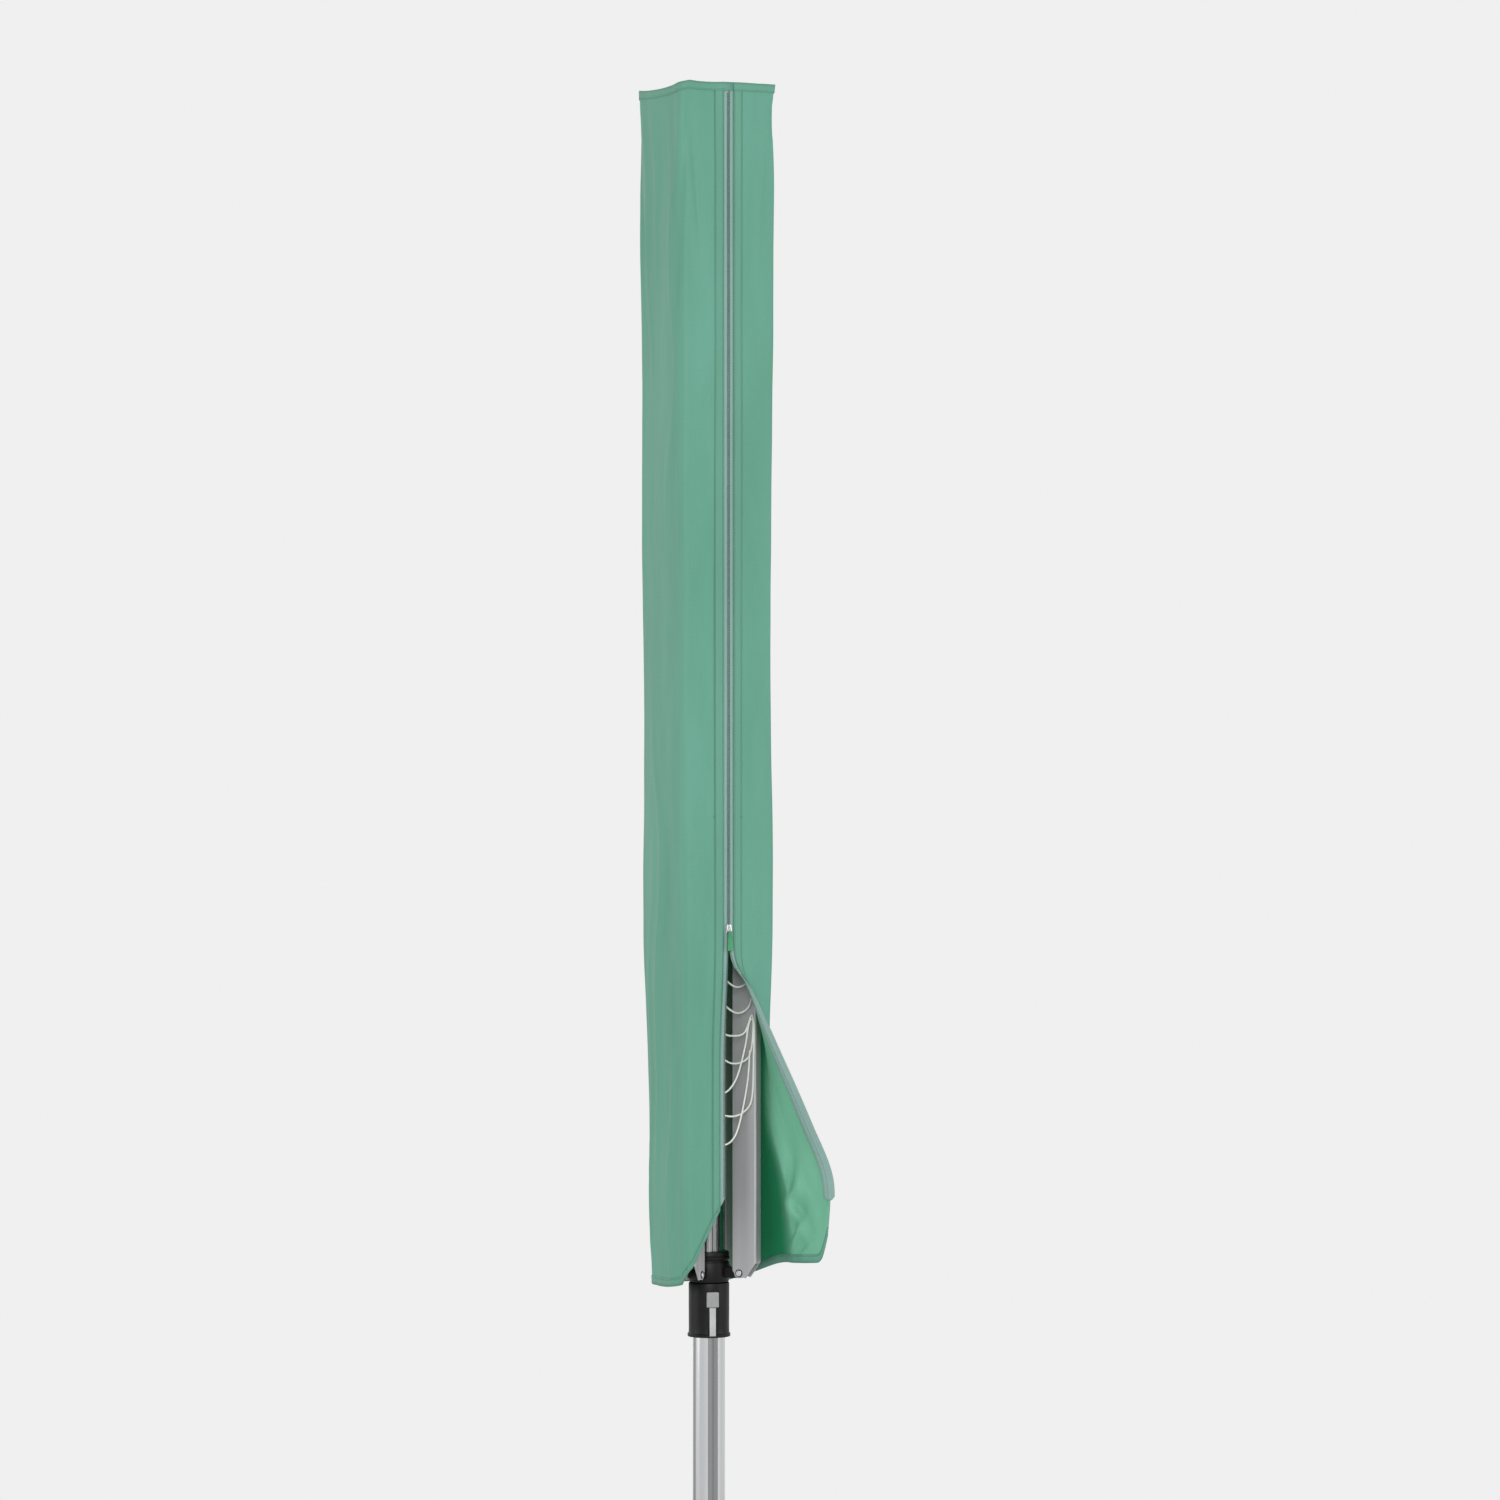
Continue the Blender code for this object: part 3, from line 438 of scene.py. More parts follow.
def makeHub():
    ring = lathe([(22.6, 764.3), (28.5, 764.3), (30.6, 765.2), (31.2, 766.6), (31.2, 794.6), (30.7, 795.6),
                  (29.4, 796.0), (29.0, 796.8), (29.0, 798.4), (29.5, 799.2), (31.6, 799.7), (32.0, 800.5),
                  (32.0, 803.6), (31.5, 804.3), (30.4, 804.6), (30.4, 805.6), (31.3, 806.0), (31.3, 809.6),
                  (30.6, 811.4), (29.4, 812.0), (22.6, 812.0)])
    for k in range(4):
        turn = k * math.pi / 2
        outer = hub["pivot"] + hub["lugTip"]
        ear = softBlock((outer - hub["lugRoot"], 2 * hub["lugHalf"], 2 * hub["lugTip"]), 0,
                        location=((outer + hub["lugRoot"]) / 2, 0, hub["boltZ"]))
        deselectAll()
        bpy.context.view_layer.objects.active = ear
        ear.select_set(True)
        bpy.ops.object.mode_set(mode="EDIT")
        bpy.ops.mesh.select_all(action="DESELECT")
        bm = bmesh.from_edit_mesh(ear.data)
        for edge in bm.edges:      # the two long edges at the tip are rounded round the bolt
            first, second = edge.verts
            if min(first.co.x, second.co.x) > 0.05 and abs(first.co.z - second.co.z) < 1e-6:
                edge.select = True
        bmesh.update_edit_mesh(ear.data)
        bpy.ops.mesh.bevel(offset=0.0068, segments=8, affect="EDGES")
        bpy.ops.object.mode_set(mode="OBJECT")
        ear.rotation_euler = (0, 0, turn)
        bpy.ops.object.transform_apply(rotation=True)
        combine(ring, ear, "UNION")
    finishPiece(ring, "runnerHub", blackNylon, "runner", "black_plastic", "runner_hub")


bolt = {"head": 0.0046, "headThick": 0.0022, "length": 0.0270, "shank": 0.0028, "socket": 0.0021,
        "washer": 0.0059, "washerThick": 0.0006, "washerOut": 0.0115}


def roundEdges(piece, width, segments):
    soft = piece.modifiers.new("round", "BEVEL")
    soft.width, soft.segments, soft.limit_method = width, segments, "ANGLE"
    bpy.ops.object.modifier_apply(modifier=soft.name)


def atPivot(piece, height, turn):
    reach = hub["pivot"] / 1000
    piece.rotation_euler = (math.pi / 2, 0, turn)
    piece.location = (reach * math.cos(turn), reach * math.sin(turn), height)


def makeWashers(name, height, body, turn):
    # black washers show round the foot screws' heads
    washers = []
    for side in (-1, 1):
        deselectAll()
        bpy.ops.mesh.primitive_cylinder_add(vertices=40, radius=bolt["washer"], depth=bolt["washerThick"],
                                            location=(0, 0, side * bolt["washerOut"]))
        roundEdges(bpy.context.object, 0.0002, 2)
        bpy.ops.object.transform_apply(location=True)
        washers.append(bpy.context.object)
    pair = joined(washers)
    atPivot(pair, height, turn)
    finishPiece(pair, name, blackNylon, body, "black_plastic")


def makeBolt(name, height, body, node, turn):
    # button-head screw and its nut, with a hexagon socket each side
    parts = []
    for side in (-1, 1):
        deselectAll()
        place = side * (bolt["length"] - bolt["headThick"]) / 2
        bpy.ops.mesh.primitive_cylinder_add(vertices=40, radius=bolt["head"], depth=bolt["headThick"],
                                            location=(0, 0, place))
        head = bpy.context.object
        bpy.ops.object.transform_apply(location=True)
        roundEdges(head, 0.0007, 3)
        bpy.ops.mesh.primitive_cylinder_add(vertices=6, radius=bolt["socket"], depth=0.0026,
                                            location=(0, 0, side * bolt["length"] / 2))
        socket = bpy.context.object
        bpy.ops.object.transform_apply(location=True)
        combine(head, socket, "DIFFERENCE")
        parts.append(head)
    deselectAll()
    bpy.ops.mesh.primitive_cylinder_add(vertices=32, radius=bolt["shank"], depth=bolt["length"] - 0.002)
    parts.append(bpy.context.object)
    screw = joined(parts)
    atPivot(screw, height, turn)
    finishPiece(screw, name, zincSteel, body, "steel", node)


flutedTube("mastLower", 0.0250, 0.0043, 0.7450, mastAlloy, "lower_mast", "lower_mast_tube")
flutedTube("mastUpper", 0.0218, 0.1000, 2.2360, upperAlloy, "upper_mast", "upper_mast_tube")
makeCollar()
makeHub()
for arm in range(4):
    around, body = arm * math.pi / 2, f"arm_{arm + 1}"
    makeWashers(f"footWashers{arm + 1}", boltZ, body, around)
    makeBolt(f"footScrew{arm + 1}", boltZ, body, f"foot_bolt_{arm + 1}", around)
    makeBolt(f"strutScrew{arm + 1}", boltZ + 0.720, body, f"pivot_pin_{arm + 1}", around)
print("mast, collar, latch, hub and screws made")


# cover: a table of sections, which the sheet, its bands, its tapes and its stitches all read

cover = {
    "top": 1.833,
    "zipOpen": 0.520,
    "zipHalf": 0.008,
    "zipReach": 0.0785,
    "pulledBack": 0.0070,      # the left edge stands back from the zip's middle where the zip is open
    "cornerRound": 0.013,
    "perFace": 26,
    "perCorner": 8,
    "perFlap": 26,
    "levels": 460,
    "rows": 250,
    "cloth": 0.0012,
    "columnWidth": 0.0028,
    "uvColumn": 0.0027,
    "gathered": 0.2,      # share of its height that the cover keeps when the arms are open
}
# height, corner reach at -Y, -X and +Y, then +X corner, flap's belly and flap's edge as (along, out)
coverLevels = [
    (-0.030, 0.0985, 0.0985, 0.0985, 0.100, 0.099, 0.106, 0.137, 0.125, 0.164),
    (0.060, 0.0990, 0.0995, 0.0985, 0.095, 0.101, 0.108, 0.134, 0.129, 0.162),
    (0.148, 0.1000, 0.1015, 0.0990, 0.085, 0.095, 0.110, 0.116, 0.142, 0.138),
    (0.236, 0.1010, 0.1040, 0.1000, 0.071, 0.079, 0.080, 0.104, 0.109, 0.131),
    (0.370, 0.1020, 0.1080, 0.1020, 0.0725, 0.0725, 0.040, 0.088, 0.050, 0.124),
    (0.441, 0.1030, 0.1100, 0.1030, 0.0735, 0.0735, 0.029, 0.079, 0.024, 0.108),
    (0.478, 0.1040, 0.1110, 0.1040, 0.0740, 0.0740, 0.034, 0.079, 0.012, 0.084),
    (0.520, 0.1050, 0.1120, 0.1050, 0.0742, 0.0742, 0.040, 0.080, 0.008, 0.0785),
    (0.900, 0.1070, 0.1140, 0.1070, 0.0725, 0.0760, 0.040, 0.080, 0.008, 0.0785),
    (1.300, 0.1090, 0.1160, 0.1090, 0.0738, 0.0766, 0.040, 0.080, 0.008, 0.0785),
    (1.850, 0.1120, 0.1205, 0.1120, 0.0770, 0.0785, 0.040, 0.080, 0.008, 0.0785),
]
hemHeights = [0.102, -0.012, -0.021, -0.021, 0.020]
flapHem = {"rise": 0.004, "roundFrom": 0.70, "round": 0.042}      # the outer corner of the flap is rounded
cornerAt = [0] + [(k + 1) * cover["perFace"] + k * cover["perCorner"] for k in range(4)]
lastColumn = cornerAt[4] + cover["perFlap"]
hemTurn = [0, cornerAt[1] + cover["perCorner"]] + cornerAt[2:]


def flat(angle, reach):
    return Vector((math.cos(angle), math.sin(angle))) * reach


def onFace(along, out):
    return flat(zipTurn + math.pi / 2, along) + flat(zipTurn, out)


def levelAt(height):
    heights = [level[0] for level in coverLevels]
    values = np.array([level[1:] for level in coverLevels])
    k = min(max(int(np.searchsorted(heights, height)) - 1, 0), len(heights) - 2)
    t = min(1.0, max(0.0, (height - heights[k]) / (heights[k + 1] - heights[k])))
    span = heights[k + 1] - heights[k]
    below, above = max(k - 1, 0), min(k + 2, len(heights) - 1)
    before = (values[k + 1] - values[below]) / (heights[k + 1] - heights[below]) * span
    after = (values[above] - values[k]) / (heights[above] - heights[k]) * span
    if height >= cover["zipOpen"]:
        return values[k] * (1 - t) + values[k + 1] * t
    return ((2 * t ** 3 - 3 * t * t + 1) * values[k] + (t ** 3 - 2 * t * t + t) * before
            + (3 * t * t - 2 * t ** 3) * values[k + 1] + (t ** 3 - t * t) * after)


def sectionAt(height):
    front, left, back, cs, cn, bs, bn, es, en = levelAt(height)
    ease = min(max((cover["zipOpen"] - height) / 0.20, 0.0), 1.0)
    slack = cover["pulledBack"] * ease * ease * (3 - 2 * ease)
    corners = [onFace(-cover["zipHalf"] - slack, cover["zipReach"] + 0.3 * slack), flat(-math.pi / 2, front),
               flat(math.pi, left), flat(math.pi / 2, back), onFace(cs, cn)]
    belly, edge = onFace(bs, bn), onFace(es, en)
    path = []
    for k in range(4):
        a, b = corners[k], corners[k + 1]
        run = (b - a).normalized()
        begin = a + run * (cover["cornerRound"] if k else 0.0)
        end = b - run * (cover["cornerRound"] if k < 3 else 0.0)
        out = Vector((run.y, -run.x))
        if out.dot((a + b) / 2) < 0:
            out = -out
        for i in range(cover["perFace"] + 1):
            t = i / cover["perFace"]
            path.append(begin.lerp(end, t) + out * (0.0022 * 4 * t * (1 - t) if k else 0))
        if k < 3:
            after = (corners[k + 2] - b).normalized()
            for i in range(1, cover["perCorner"]):
                t = i / cover["perCorner"]
                path.append(end * (1 - t) ** 2 + b * 2 * t * (1 - t) + (b + after * cover["cornerRound"]) * t * t)
    corner = path[-1]
    for i in range(1, cover["perFlap"] + 1):
        t = i / cover["perFlap"]
        path.append(corner * (1 - t) ** 2 + belly * 2 * t * (1 - t) + edge * t * t)
    return path


def hemAt(column):
    if column > cornerAt[4]:
        share = (column - cornerAt[4]) / cover["perFlap"]
        corner = max(0.0, share - flapHem["roundFrom"]) / (1 - flapHem["roundFrom"])
        return hemHeights[4] + flapHem["rise"] * share + flapHem["round"] * corner ** 2.4
    k = next(i for i in range(4) if column <= hemTurn[i + 1])
    t = max(0.0, (column - hemTurn[k]) / (hemTurn[k + 1] - hemTurn[k]))
    if k == 1:
        t = 1 - (1 - t) ** 3
    elif k:
        t = t * t * (3 - 2 * t)
    return hemHeights[k] + (hemHeights[k + 1] - hemHeights[k]) * t


lowTable, highTable = -0.030, 1.850
tableHeights = np.linspace(lowTable, highTable, cover["levels"])
plan = np.array([[tuple(p) for p in sectionAt(h)] for h in tableHeights])

# columns past the corner, height, lean, depth, half width in columns, half height
flapWrinkles = [(2, 0.128, 0.9, 0.0085, 5.0, 0.009), (6, 0.098, -0.8, 0.0090, 5.5, 0.008),
                (4, 0.066, 1.3, 0.0080, 5.0, 0.008), (13, 0.066, -0.6, 0.0050, 6.0, 0.007),
                (17, 0.190, 0.8, 0.0030, 6.0, 0.018), (8, 0.160, 1.7, 0.0050, 4.0, 0.013),
                (11, 0.044, 0.5, 0.0050, 6.0, 0.006), (18, 0.110, -1.0, 0.0030, 5.0, 0.010)]


def creaseField():
    # how far the cloth stands in or out of its even surface, in metres, for each level and column
    columns = np.arange(lastColumn + 1)
    h, c = np.meshgrid(tableHeights, columns, indexing="ij")
    field = np.zeros_like(h)
    for k in range(h.shape[0]):
        for i in range(h.shape[1]):
            place = Vector((c[k, i] * 0.16, h[k, i] * 5.0, 3.7))
            slow = Vector((c[k, i] * 0.05, h[k, i] * 2.6, 8.1))
            field[k, i] = 0.0012 * noise.noise(place) + 0.0004 * noise.noise(place * 2.7) + 0.0036 * noise.noise(slow)
    fall = cover["top"] - h
    for column, lean, depth in ((cornerAt[1], 26, 0.0034), (cornerAt[1], -34, 0.0030), (cornerAt[2] + 4, -22, 0.0036),
                                (cornerAt[3], 25, 0.0030), (cornerAt[4], -30, 0.0034), (cornerAt[4], 24, 0.0028)):
        away = (c - column - lean * fall) * cover["columnWidth"]
        fade = np.clip(fall / 0.05, 0, 1) * np.exp(-((fall - 0.10) / 0.22) ** 2)
        field -= depth * np.exp(-(away / 0.0075) ** 2) * fade
        field += 0.5 * depth * np.exp(-((away - 0.013) / 0.009) ** 2) * fade
    sway = 9 * np.sin(h * 7.1 + 0.6) + 5 * np.sin(h * 17.3)
    for start, depth, width in ((cornerAt[1] + 13, 0.0030, 0.0048), (cornerAt[1] + 24, 0.0034, 0.0042),
                                (cornerAt[1] + 31, 0.0024, 0.0036), (cornerAt[2] + 18, 0.0022, 0.007),
                                (cornerAt[3] + 16, 0.0022, 0.007)):
        away = (c - start - sway * 0.35) * cover["columnWidth"]
        fade = np.clip(np.sin(h * 4.2 + start) * 0.9 + 0.35, 0, 1) * np.clip(fall / 0.2, 0, 1)
        field += depth * np.exp(-(away / width) ** 2) * fade
    onFlap = np.clip((c - cornerAt[4] + 6) / 8, 0, 1) * np.clip((lastColumn - 3 - c) / 9, 0, 1)
    for column, height, lean, depth, wide, tall in flapWrinkles:
        across = c - cornerAt[4] - column
        away = h - height - lean * across * cover["columnWidth"]
        reach = onFlap * np.exp(-(across / wide) ** 2) * np.exp(-(away / (3 * tall)) ** 2)
        field += depth * reach * np.tanh(away / tall)
    edgeHold = np.clip(c / 5, 0, 1) * np.clip((lastColumn - c) / 4, 0, 1)
    return field * edgeHold


def tableNormals(points):
    around = np.gradient(points, axis=1)
    up = np.gradient(points, axis=0)
    normal = np.cross(up, around)
    return normal / np.linalg.norm(normal, axis=2, keepdims=True)


def topSag():
    # the top edge hangs a little between the arm tips, most on the left face
    sag = np.zeros((cover["levels"], lastColumn + 1))
    near = np.clip((tableHeights - 1.66) / 0.18, 0, 1) ** 2
    for k, depth in enumerate((0.0015, 0.0070, 0.0040, 0.0040)):
        span = np.arange(cornerAt[k], cornerAt[k + 1] + 1)
        share = (span - span[0]) / (span[-1] - span[0])
        shape = 4 * share * (1 - share)
        sag[:, span] += depth * near[:, None] * shape[None, :]
    return sag


def buildTable():
    rise = np.repeat(tableHeights[:, None], lastColumn + 1, axis=1)
    points = np.dstack((plan, rise[:, :, None] + boltZ))
    normal = tableNormals(points)
    if (normal[300, :, :2] * plan[300]).sum() < 0:
        normal = -normal
    points = points + normal * creaseField()[:, :, None]
    points[:, :, 2] -= topSag()
    creased = tableNormals(points)
    if (creased * normal).sum() < 0:
        creased = -creased
    return points, creased


tablePoints, tableNormal = buildTable()
tableStep = (highTable - lowTable) / (cover["levels"] - 1)


def coverPoint(column, height, lift=0.0):
    # a column below 0 or past the last runs on across the zip, in metres
    past = 0.0
    inside = min(max(column, 0.0), float(lastColumn))
    if column != inside:
        past = column - inside
    k = min(max((height - lowTable) / tableStep, 0.0), cover["levels"] - 1.001)
    i = min(inside, lastColumn - 0.001)
    k0, i0 = int(k), int(i)
    kt, it = k - k0, i - i0
    weights = ((1 - kt) * (1 - it), (1 - kt) * it, kt * (1 - it), kt * it)
    cells = ((k0, i0), (k0, i0 + 1), (k0 + 1, i0), (k0 + 1, i0 + 1))
    place = sum((tablePoints[cell] * w for cell, w in zip(cells, weights)), np.zeros(3))
    out = sum((tableNormal[cell] * w for cell, w in zip(cells, weights)), np.zeros(3))
    if past:
        step = (tablePoints[k0, 0] - tablePoints[k0, 1]) if past < 0 else (
            tablePoints[k0, lastColumn] - tablePoints[k0, lastColumn - 1])
        step = step * np.array((1, 1, 0))
        place = place + step / np.linalg.norm(step) * abs(past)
    return Vector(place + out * lift)


def gridPiece(name, across, upward, placeOf, uvOf):
    deselectAll()
    bpy.ops.mesh.primitive_grid_add(x_subdivisions=across, y_subdivisions=upward, size=1)
    piece = bpy.context.object
    piece.name = name
    mesh = piece.data
    uv = mesh.uv_layers.active
    indexOf = {}
    for vert in mesh.vertices:
        i, j = round((vert.co.x + 0.5) * across), round((vert.co.y + 0.5) * upward)
        indexOf[vert.index] = (i, j)
        vert.co = placeOf(i, j)
    for loop in mesh.loops:
        uv.data[loop.index].uv = uvOf(*indexOf[loop.vertex_index])
    mesh.update()
    return piece


def thicken(piece, thickness, inner=False):
    solid = piece.modifiers.new("thickness", "SOLIDIFY")
    solid.thickness = thickness
    solid.offset = 0.0
    if inner:
        solid.material_offset = 1
    bpy.context.view_layer.objects.active = piece
    bpy.ops.object.modifier_apply(modifier=solid.name)
    piece.data.shade_smooth()


def gatherUp(piece):
    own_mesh(piece)


def onCover(piece, slot="cover_cloth", *nodes):
    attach(piece, "cover")
    if nodes:
        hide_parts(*nodes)
    gatherUp(piece)


def facesOut(piece):
    mesh = piece.data
    face = max(mesh.polygons, key=lambda p: p.center.z)
    if face.normal.dot(Vector((face.center.x, face.center.y, 0))) < 0:
        mesh.flip_normals()


def rowHeight(hem, share):
    return hem + (cover["top"] - hem) * share


def makeShell():
    rows = cover["rows"]

    def place(i, j):
        return coverPoint(i, rowHeight(hemAt(i), (j / rows) ** 1.15))

    def uv(i, j):
        return i * cover["uvColumn"], rowHeight(hemAt(i), (j / rows) ** 1.15)

    shell = gridPiece("coverShell", lastColumn, rows, place, uv)
    facesOut(shell)
    shell.data.materials.append(coverOutside)
    shell.data.materials.append(coverInside)
    thicken(shell, cover["cloth"], inner=True)
    onCover(shell, "cover_cloth", "cover_shell")
    return shell


coverShell = makeShell()
print("cover sheet made")

band = {"lift": 0.0011, "thickness": 0.0009, "hem": 0.012, "placket": 7.1, "uvColumn": 0.0026}


def makeBand(name, columns, heights, across, upward, lift, past=0.0):
    # past carries the left end on over the zip, in metres

    def spot(i, j):
        column = columns[0] + (columns[1] - columns[0]) * i / across
        if past and i == 0:
            column = -past
        low, high = heights(column)
        return column, low + (high - low) * j / upward

    def place(i, j):
        column, height = spot(i, j)
        return coverPoint(column, height, lift)

    def uv(i, j):
        column, height = spot(i, j)
        return column * band["uvColumn"], height

    piece = gridPiece(name, across, upward, place, uv)
    piece.data.materials.append(hemCloth)
    thicken(piece, band["thickness"])
    onCover(piece)


def makeBands():
    top = cover["top"]

    def hem(column):
        return hemAt(column) - 0.001, hemAt(column) + band["hem"]

    def placket(column):
        return hemAt(column), top - 0.008

    makeBand("bottomHem", (0, lastColumn), hem, lastColumn, 2, band["lift"])
    makeBand("bottomHemInside", (0, lastColumn), hem, lastColumn, 2, -band["lift"])
    makeBand("topHem", (0, lastColumn), lambda c: (top - band["hem"], top + 0.001), lastColumn, 3, 0.0014,
             past=2 * cover["zipHalf"] + 0.0006)
    makeBand("leftPlacket", (0, band["placket"]), placket, 4, 260, band["lift"])
    makeBand("rightPlacket", (lastColumn - band["placket"] * 0.8, lastColumn), placket, 4, 260, band["lift"])


makeBands()


# zip: two woven tapes, a coil on each, the slider and its pull

zipStyle = {"leftLow": 0.104, "rightLow": 0.116, "free": 0.0078, "sewn": 3.6, "toothPitch": 0.0024,
            "coilFromEdge": 0.0013, "top": cover["top"] - 0.008}


def makeTapes():
    for name, node, side in (("zipTapeLeft", "zip_tape_left", -1), ("zipTapeRight", "zip_tape_right", 1)):
        edge = 0 if side < 0 else lastColumn

        def lift(column):
            sewn = column > 0 if side < 0 else column < lastColumn
            return -0.0016 if sewn else -0.0004

        low = zipStyle["leftLow"] if side < 0 else zipStyle["rightLow"]
        steps = (-zipStyle["sewn"], -zipStyle["sewn"] / 2, -0.3, 0.0003, zipStyle["free"] / 2, zipStyle["free"])
        cut = (0.000, 0.000, 0.001, 0.003, 0.008, 0.016) if side < 0 else (0.006, 0.001, 0.0, 0.0, 0.002, 0.007)

        def spot(i, j):
            foot = low + cut[i]      # rounded lower end
            return edge + side * steps[i], foot + (zipStyle["top"] - foot) * j / 300

        tape = gridPiece(name, 5, 300, lambda i, j: coverPoint(*spot(i, j), lift(spot(i, j)[0])),
                         lambda i, j: (i * 0.003, spot(i, j)[1]))
        tape.data.materials.append(tapeCloth)
        thicken(tape, 0.0007)
        onCover(tape, "zip_tape", node)


def stamp(name, shape, places, material):
    corners, faces = shape
    allCorners, allFaces = [], []
    for matrix in places:
        base = len(allCorners)
        allCorners += [matrix @ corner for corner in corners]
        allFaces += [tuple(base + i for i in face) for face in faces]
    mesh = bpy.data.meshes.new(name)
    mesh.from_pydata(allCorners, [], allFaces)
    mesh.shade_smooth()
    piece = bpy.data.objects.new(name, mesh)
    bpy.context.scene.collection.objects.link(piece)
    mesh.materials.append(material)
    return piece


def templateBlock(size, bevel):
    deselectAll()
    bpy.ops.mesh.primitive_cube_add(size=1)
    block = bpy.context.object
    block.scale = size
    bpy.ops.object.transform_apply(location=False, rotation=False, scale=True)
    bpy.ops.object.mode_set(mode="EDIT")
    bpy.ops.mesh.select_all(action="SELECT")
    bpy.ops.mesh.bevel(offset=bevel, segments=1, affect="EDGES")
    bpy.ops.object.mode_set(mode="OBJECT")
    corners = [vert.co.copy() for vert in block.data.vertices]
    faces = [tuple(face.vertices) for face in block.data.polygons]
    bpy.data.objects.remove(block)
    return corners, faces


def frameAt(column, height, lift, ahead):
    # X along the way that 'ahead' leads, Z off the cloth
    here = coverPoint(column, height, lift)
    there = coverPoint(column + ahead[0], height + ahead[1], lift)
    off = (coverPoint(column, height, lift + 0.001) - here).normalized()
    along = (there - here).normalized()
    side = off.cross(along).normalized()
    off = along.cross(side)
    matrix = Matrix((along, side, off)).transposed().to_4x4()
    matrix.translation = here
    return matrix


def makeCoils():
    tooth = templateBlock((0.0015, 0.0019, 0.0012), 0.00035)
    for name, side in (("zipCoilLeft", -1), ("zipCoilRight", 1)):
        past = zipStyle["free"] - zipStyle["coilFromEdge"]
        column = -past if side < 0 else lastColumn + past
        low = zipStyle["leftLow"] + 0.018 if side < 0 else zipStyle["rightLow"] + 0.010
        count = int((zipStyle["top"] - 0.004 - low) / zipStyle["toothPitch"])
        places = []
        for k in range(count):
            height = low + (k + (0.5 if side > 0 else 0)) * zipStyle["toothPitch"]
            places.append(frameAt(column, height, 0.0006, (0, 0.002)))
        onCover(stamp(name, tooth, places, coilNylon), "zip_tape")


stitchStyle = {"length": 0.0024, "pitch": 0.0037, "thick": 0.0006}


def stitchRow(steps, lift):
    places = []
    spare = 0.0
    for (c0, h0), (c1, h1) in zip(steps, steps[1:]):
        run = (coverPoint(c1, h1) - coverPoint(c0, h0)).length
        if run < 1e-6:
            continue
        at = spare
        while at < run:
            t = at / run
            places.append(frameAt(c0 + (c1 - c0) * t, h0 + (h1 - h0) * t, lift, ((c1 - c0) * 0.02, (h1 - h0) * 0.02)))
            at += stitchStyle["pitch"]
        spare = at - run
    return places


def makeStitches():
    shape = templateBlock((stitchStyle["length"], stitchStyle["thick"], stitchStyle["thick"]), 0.00018)
    top = cover["top"] - 0.003
    rows = []
    heights = [0.09 + (top - 0.09) * k / 60 for k in range(61)]
    lift = band["lift"] + 0.0006
    for column in (0.9, band["placket"] - 0.8, lastColumn - 0.9, lastColumn - band["placket"] * 0.8 + 0.8):
        rows += stitchRow([(column, max(h, hemAt(column) + 0.004)) for h in heights], lift)
    hemPath = [(c, hemAt(c) + band["hem"] - 0.0025) for c in np.linspace(0, lastColumn, 90)]
    rows += stitchRow(hemPath, lift)
    rows += stitchRow(hemPath, -lift)
    rows += stitchRow([(c, cover["top"] - band["hem"] + 0.0025) for c in np.linspace(0, lastColumn, 60)], lift)
    rows += stitchRow([(lastColumn - 0.9, 0.11 + (0.52 - 0.11) * k / 20) for k in range(21)], -0.0024)
    onCover(stamp("coverStitches", shape, rows, threadCotton))
    tacks = []
    for column, height in ((1.6, 0.100), (3.2, None), (band["placket"], 0.705), (lastColumn - 5.6, 0.705),
                           (cornerAt[1] + 3, None), (cornerAt[4] + 6, None), (cornerAt[4] + 15, None)):
        height = hemAt(column) + 0.007 if height is None else height
        for k in range(4):
            tacks.append(frameAt(column + 0.25 * k, height, band["lift"] + 0.0008, (0.3, 0.0002)))
    onCover(stamp("barTacks", shape, tacks, threadCotton))


sliderStyle = {"height": 0.532, "plate": (0.0012, 0.0105, 0.014), "topWidth": 0.66, "loop": (0.0030, 0.0008),
               "pull": (0.0020, 0.0085, 0.030), "pullTaper": 0.35, "ridges": 14, "edge": 0.0005}


def onZip(piece, out, up):
    place = zipOut * (cover["zipReach"] + out) + Vector((0, 0, boltZ + sliderStyle["height"] + up))
    piece.location = place
    piece.rotation_euler = (0, 0, zipTurn)
    deselectAll()
    piece.select_set(True)
    bpy.context.view_layer.objects.active = piece
    bpy.ops.object.transform_apply(location=True, rotation=True, scale=True)


def zipBlock(size):
    deselectAll()
    bpy.ops.mesh.primitive_cube_add(size=1)
    bpy.context.object.scale = size
    bpy.ops.object.transform_apply(location=False, rotation=False, scale=True)
    return bpy.context.object


def finishZipPart(piece, name, node, material):
    piece.name = name
    piece.data.shade_smooth()
    piece.data.materials.clear()
    piece.data.materials.append(material)
    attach(piece, node)
    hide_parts(node)
    gatherUp(piece)


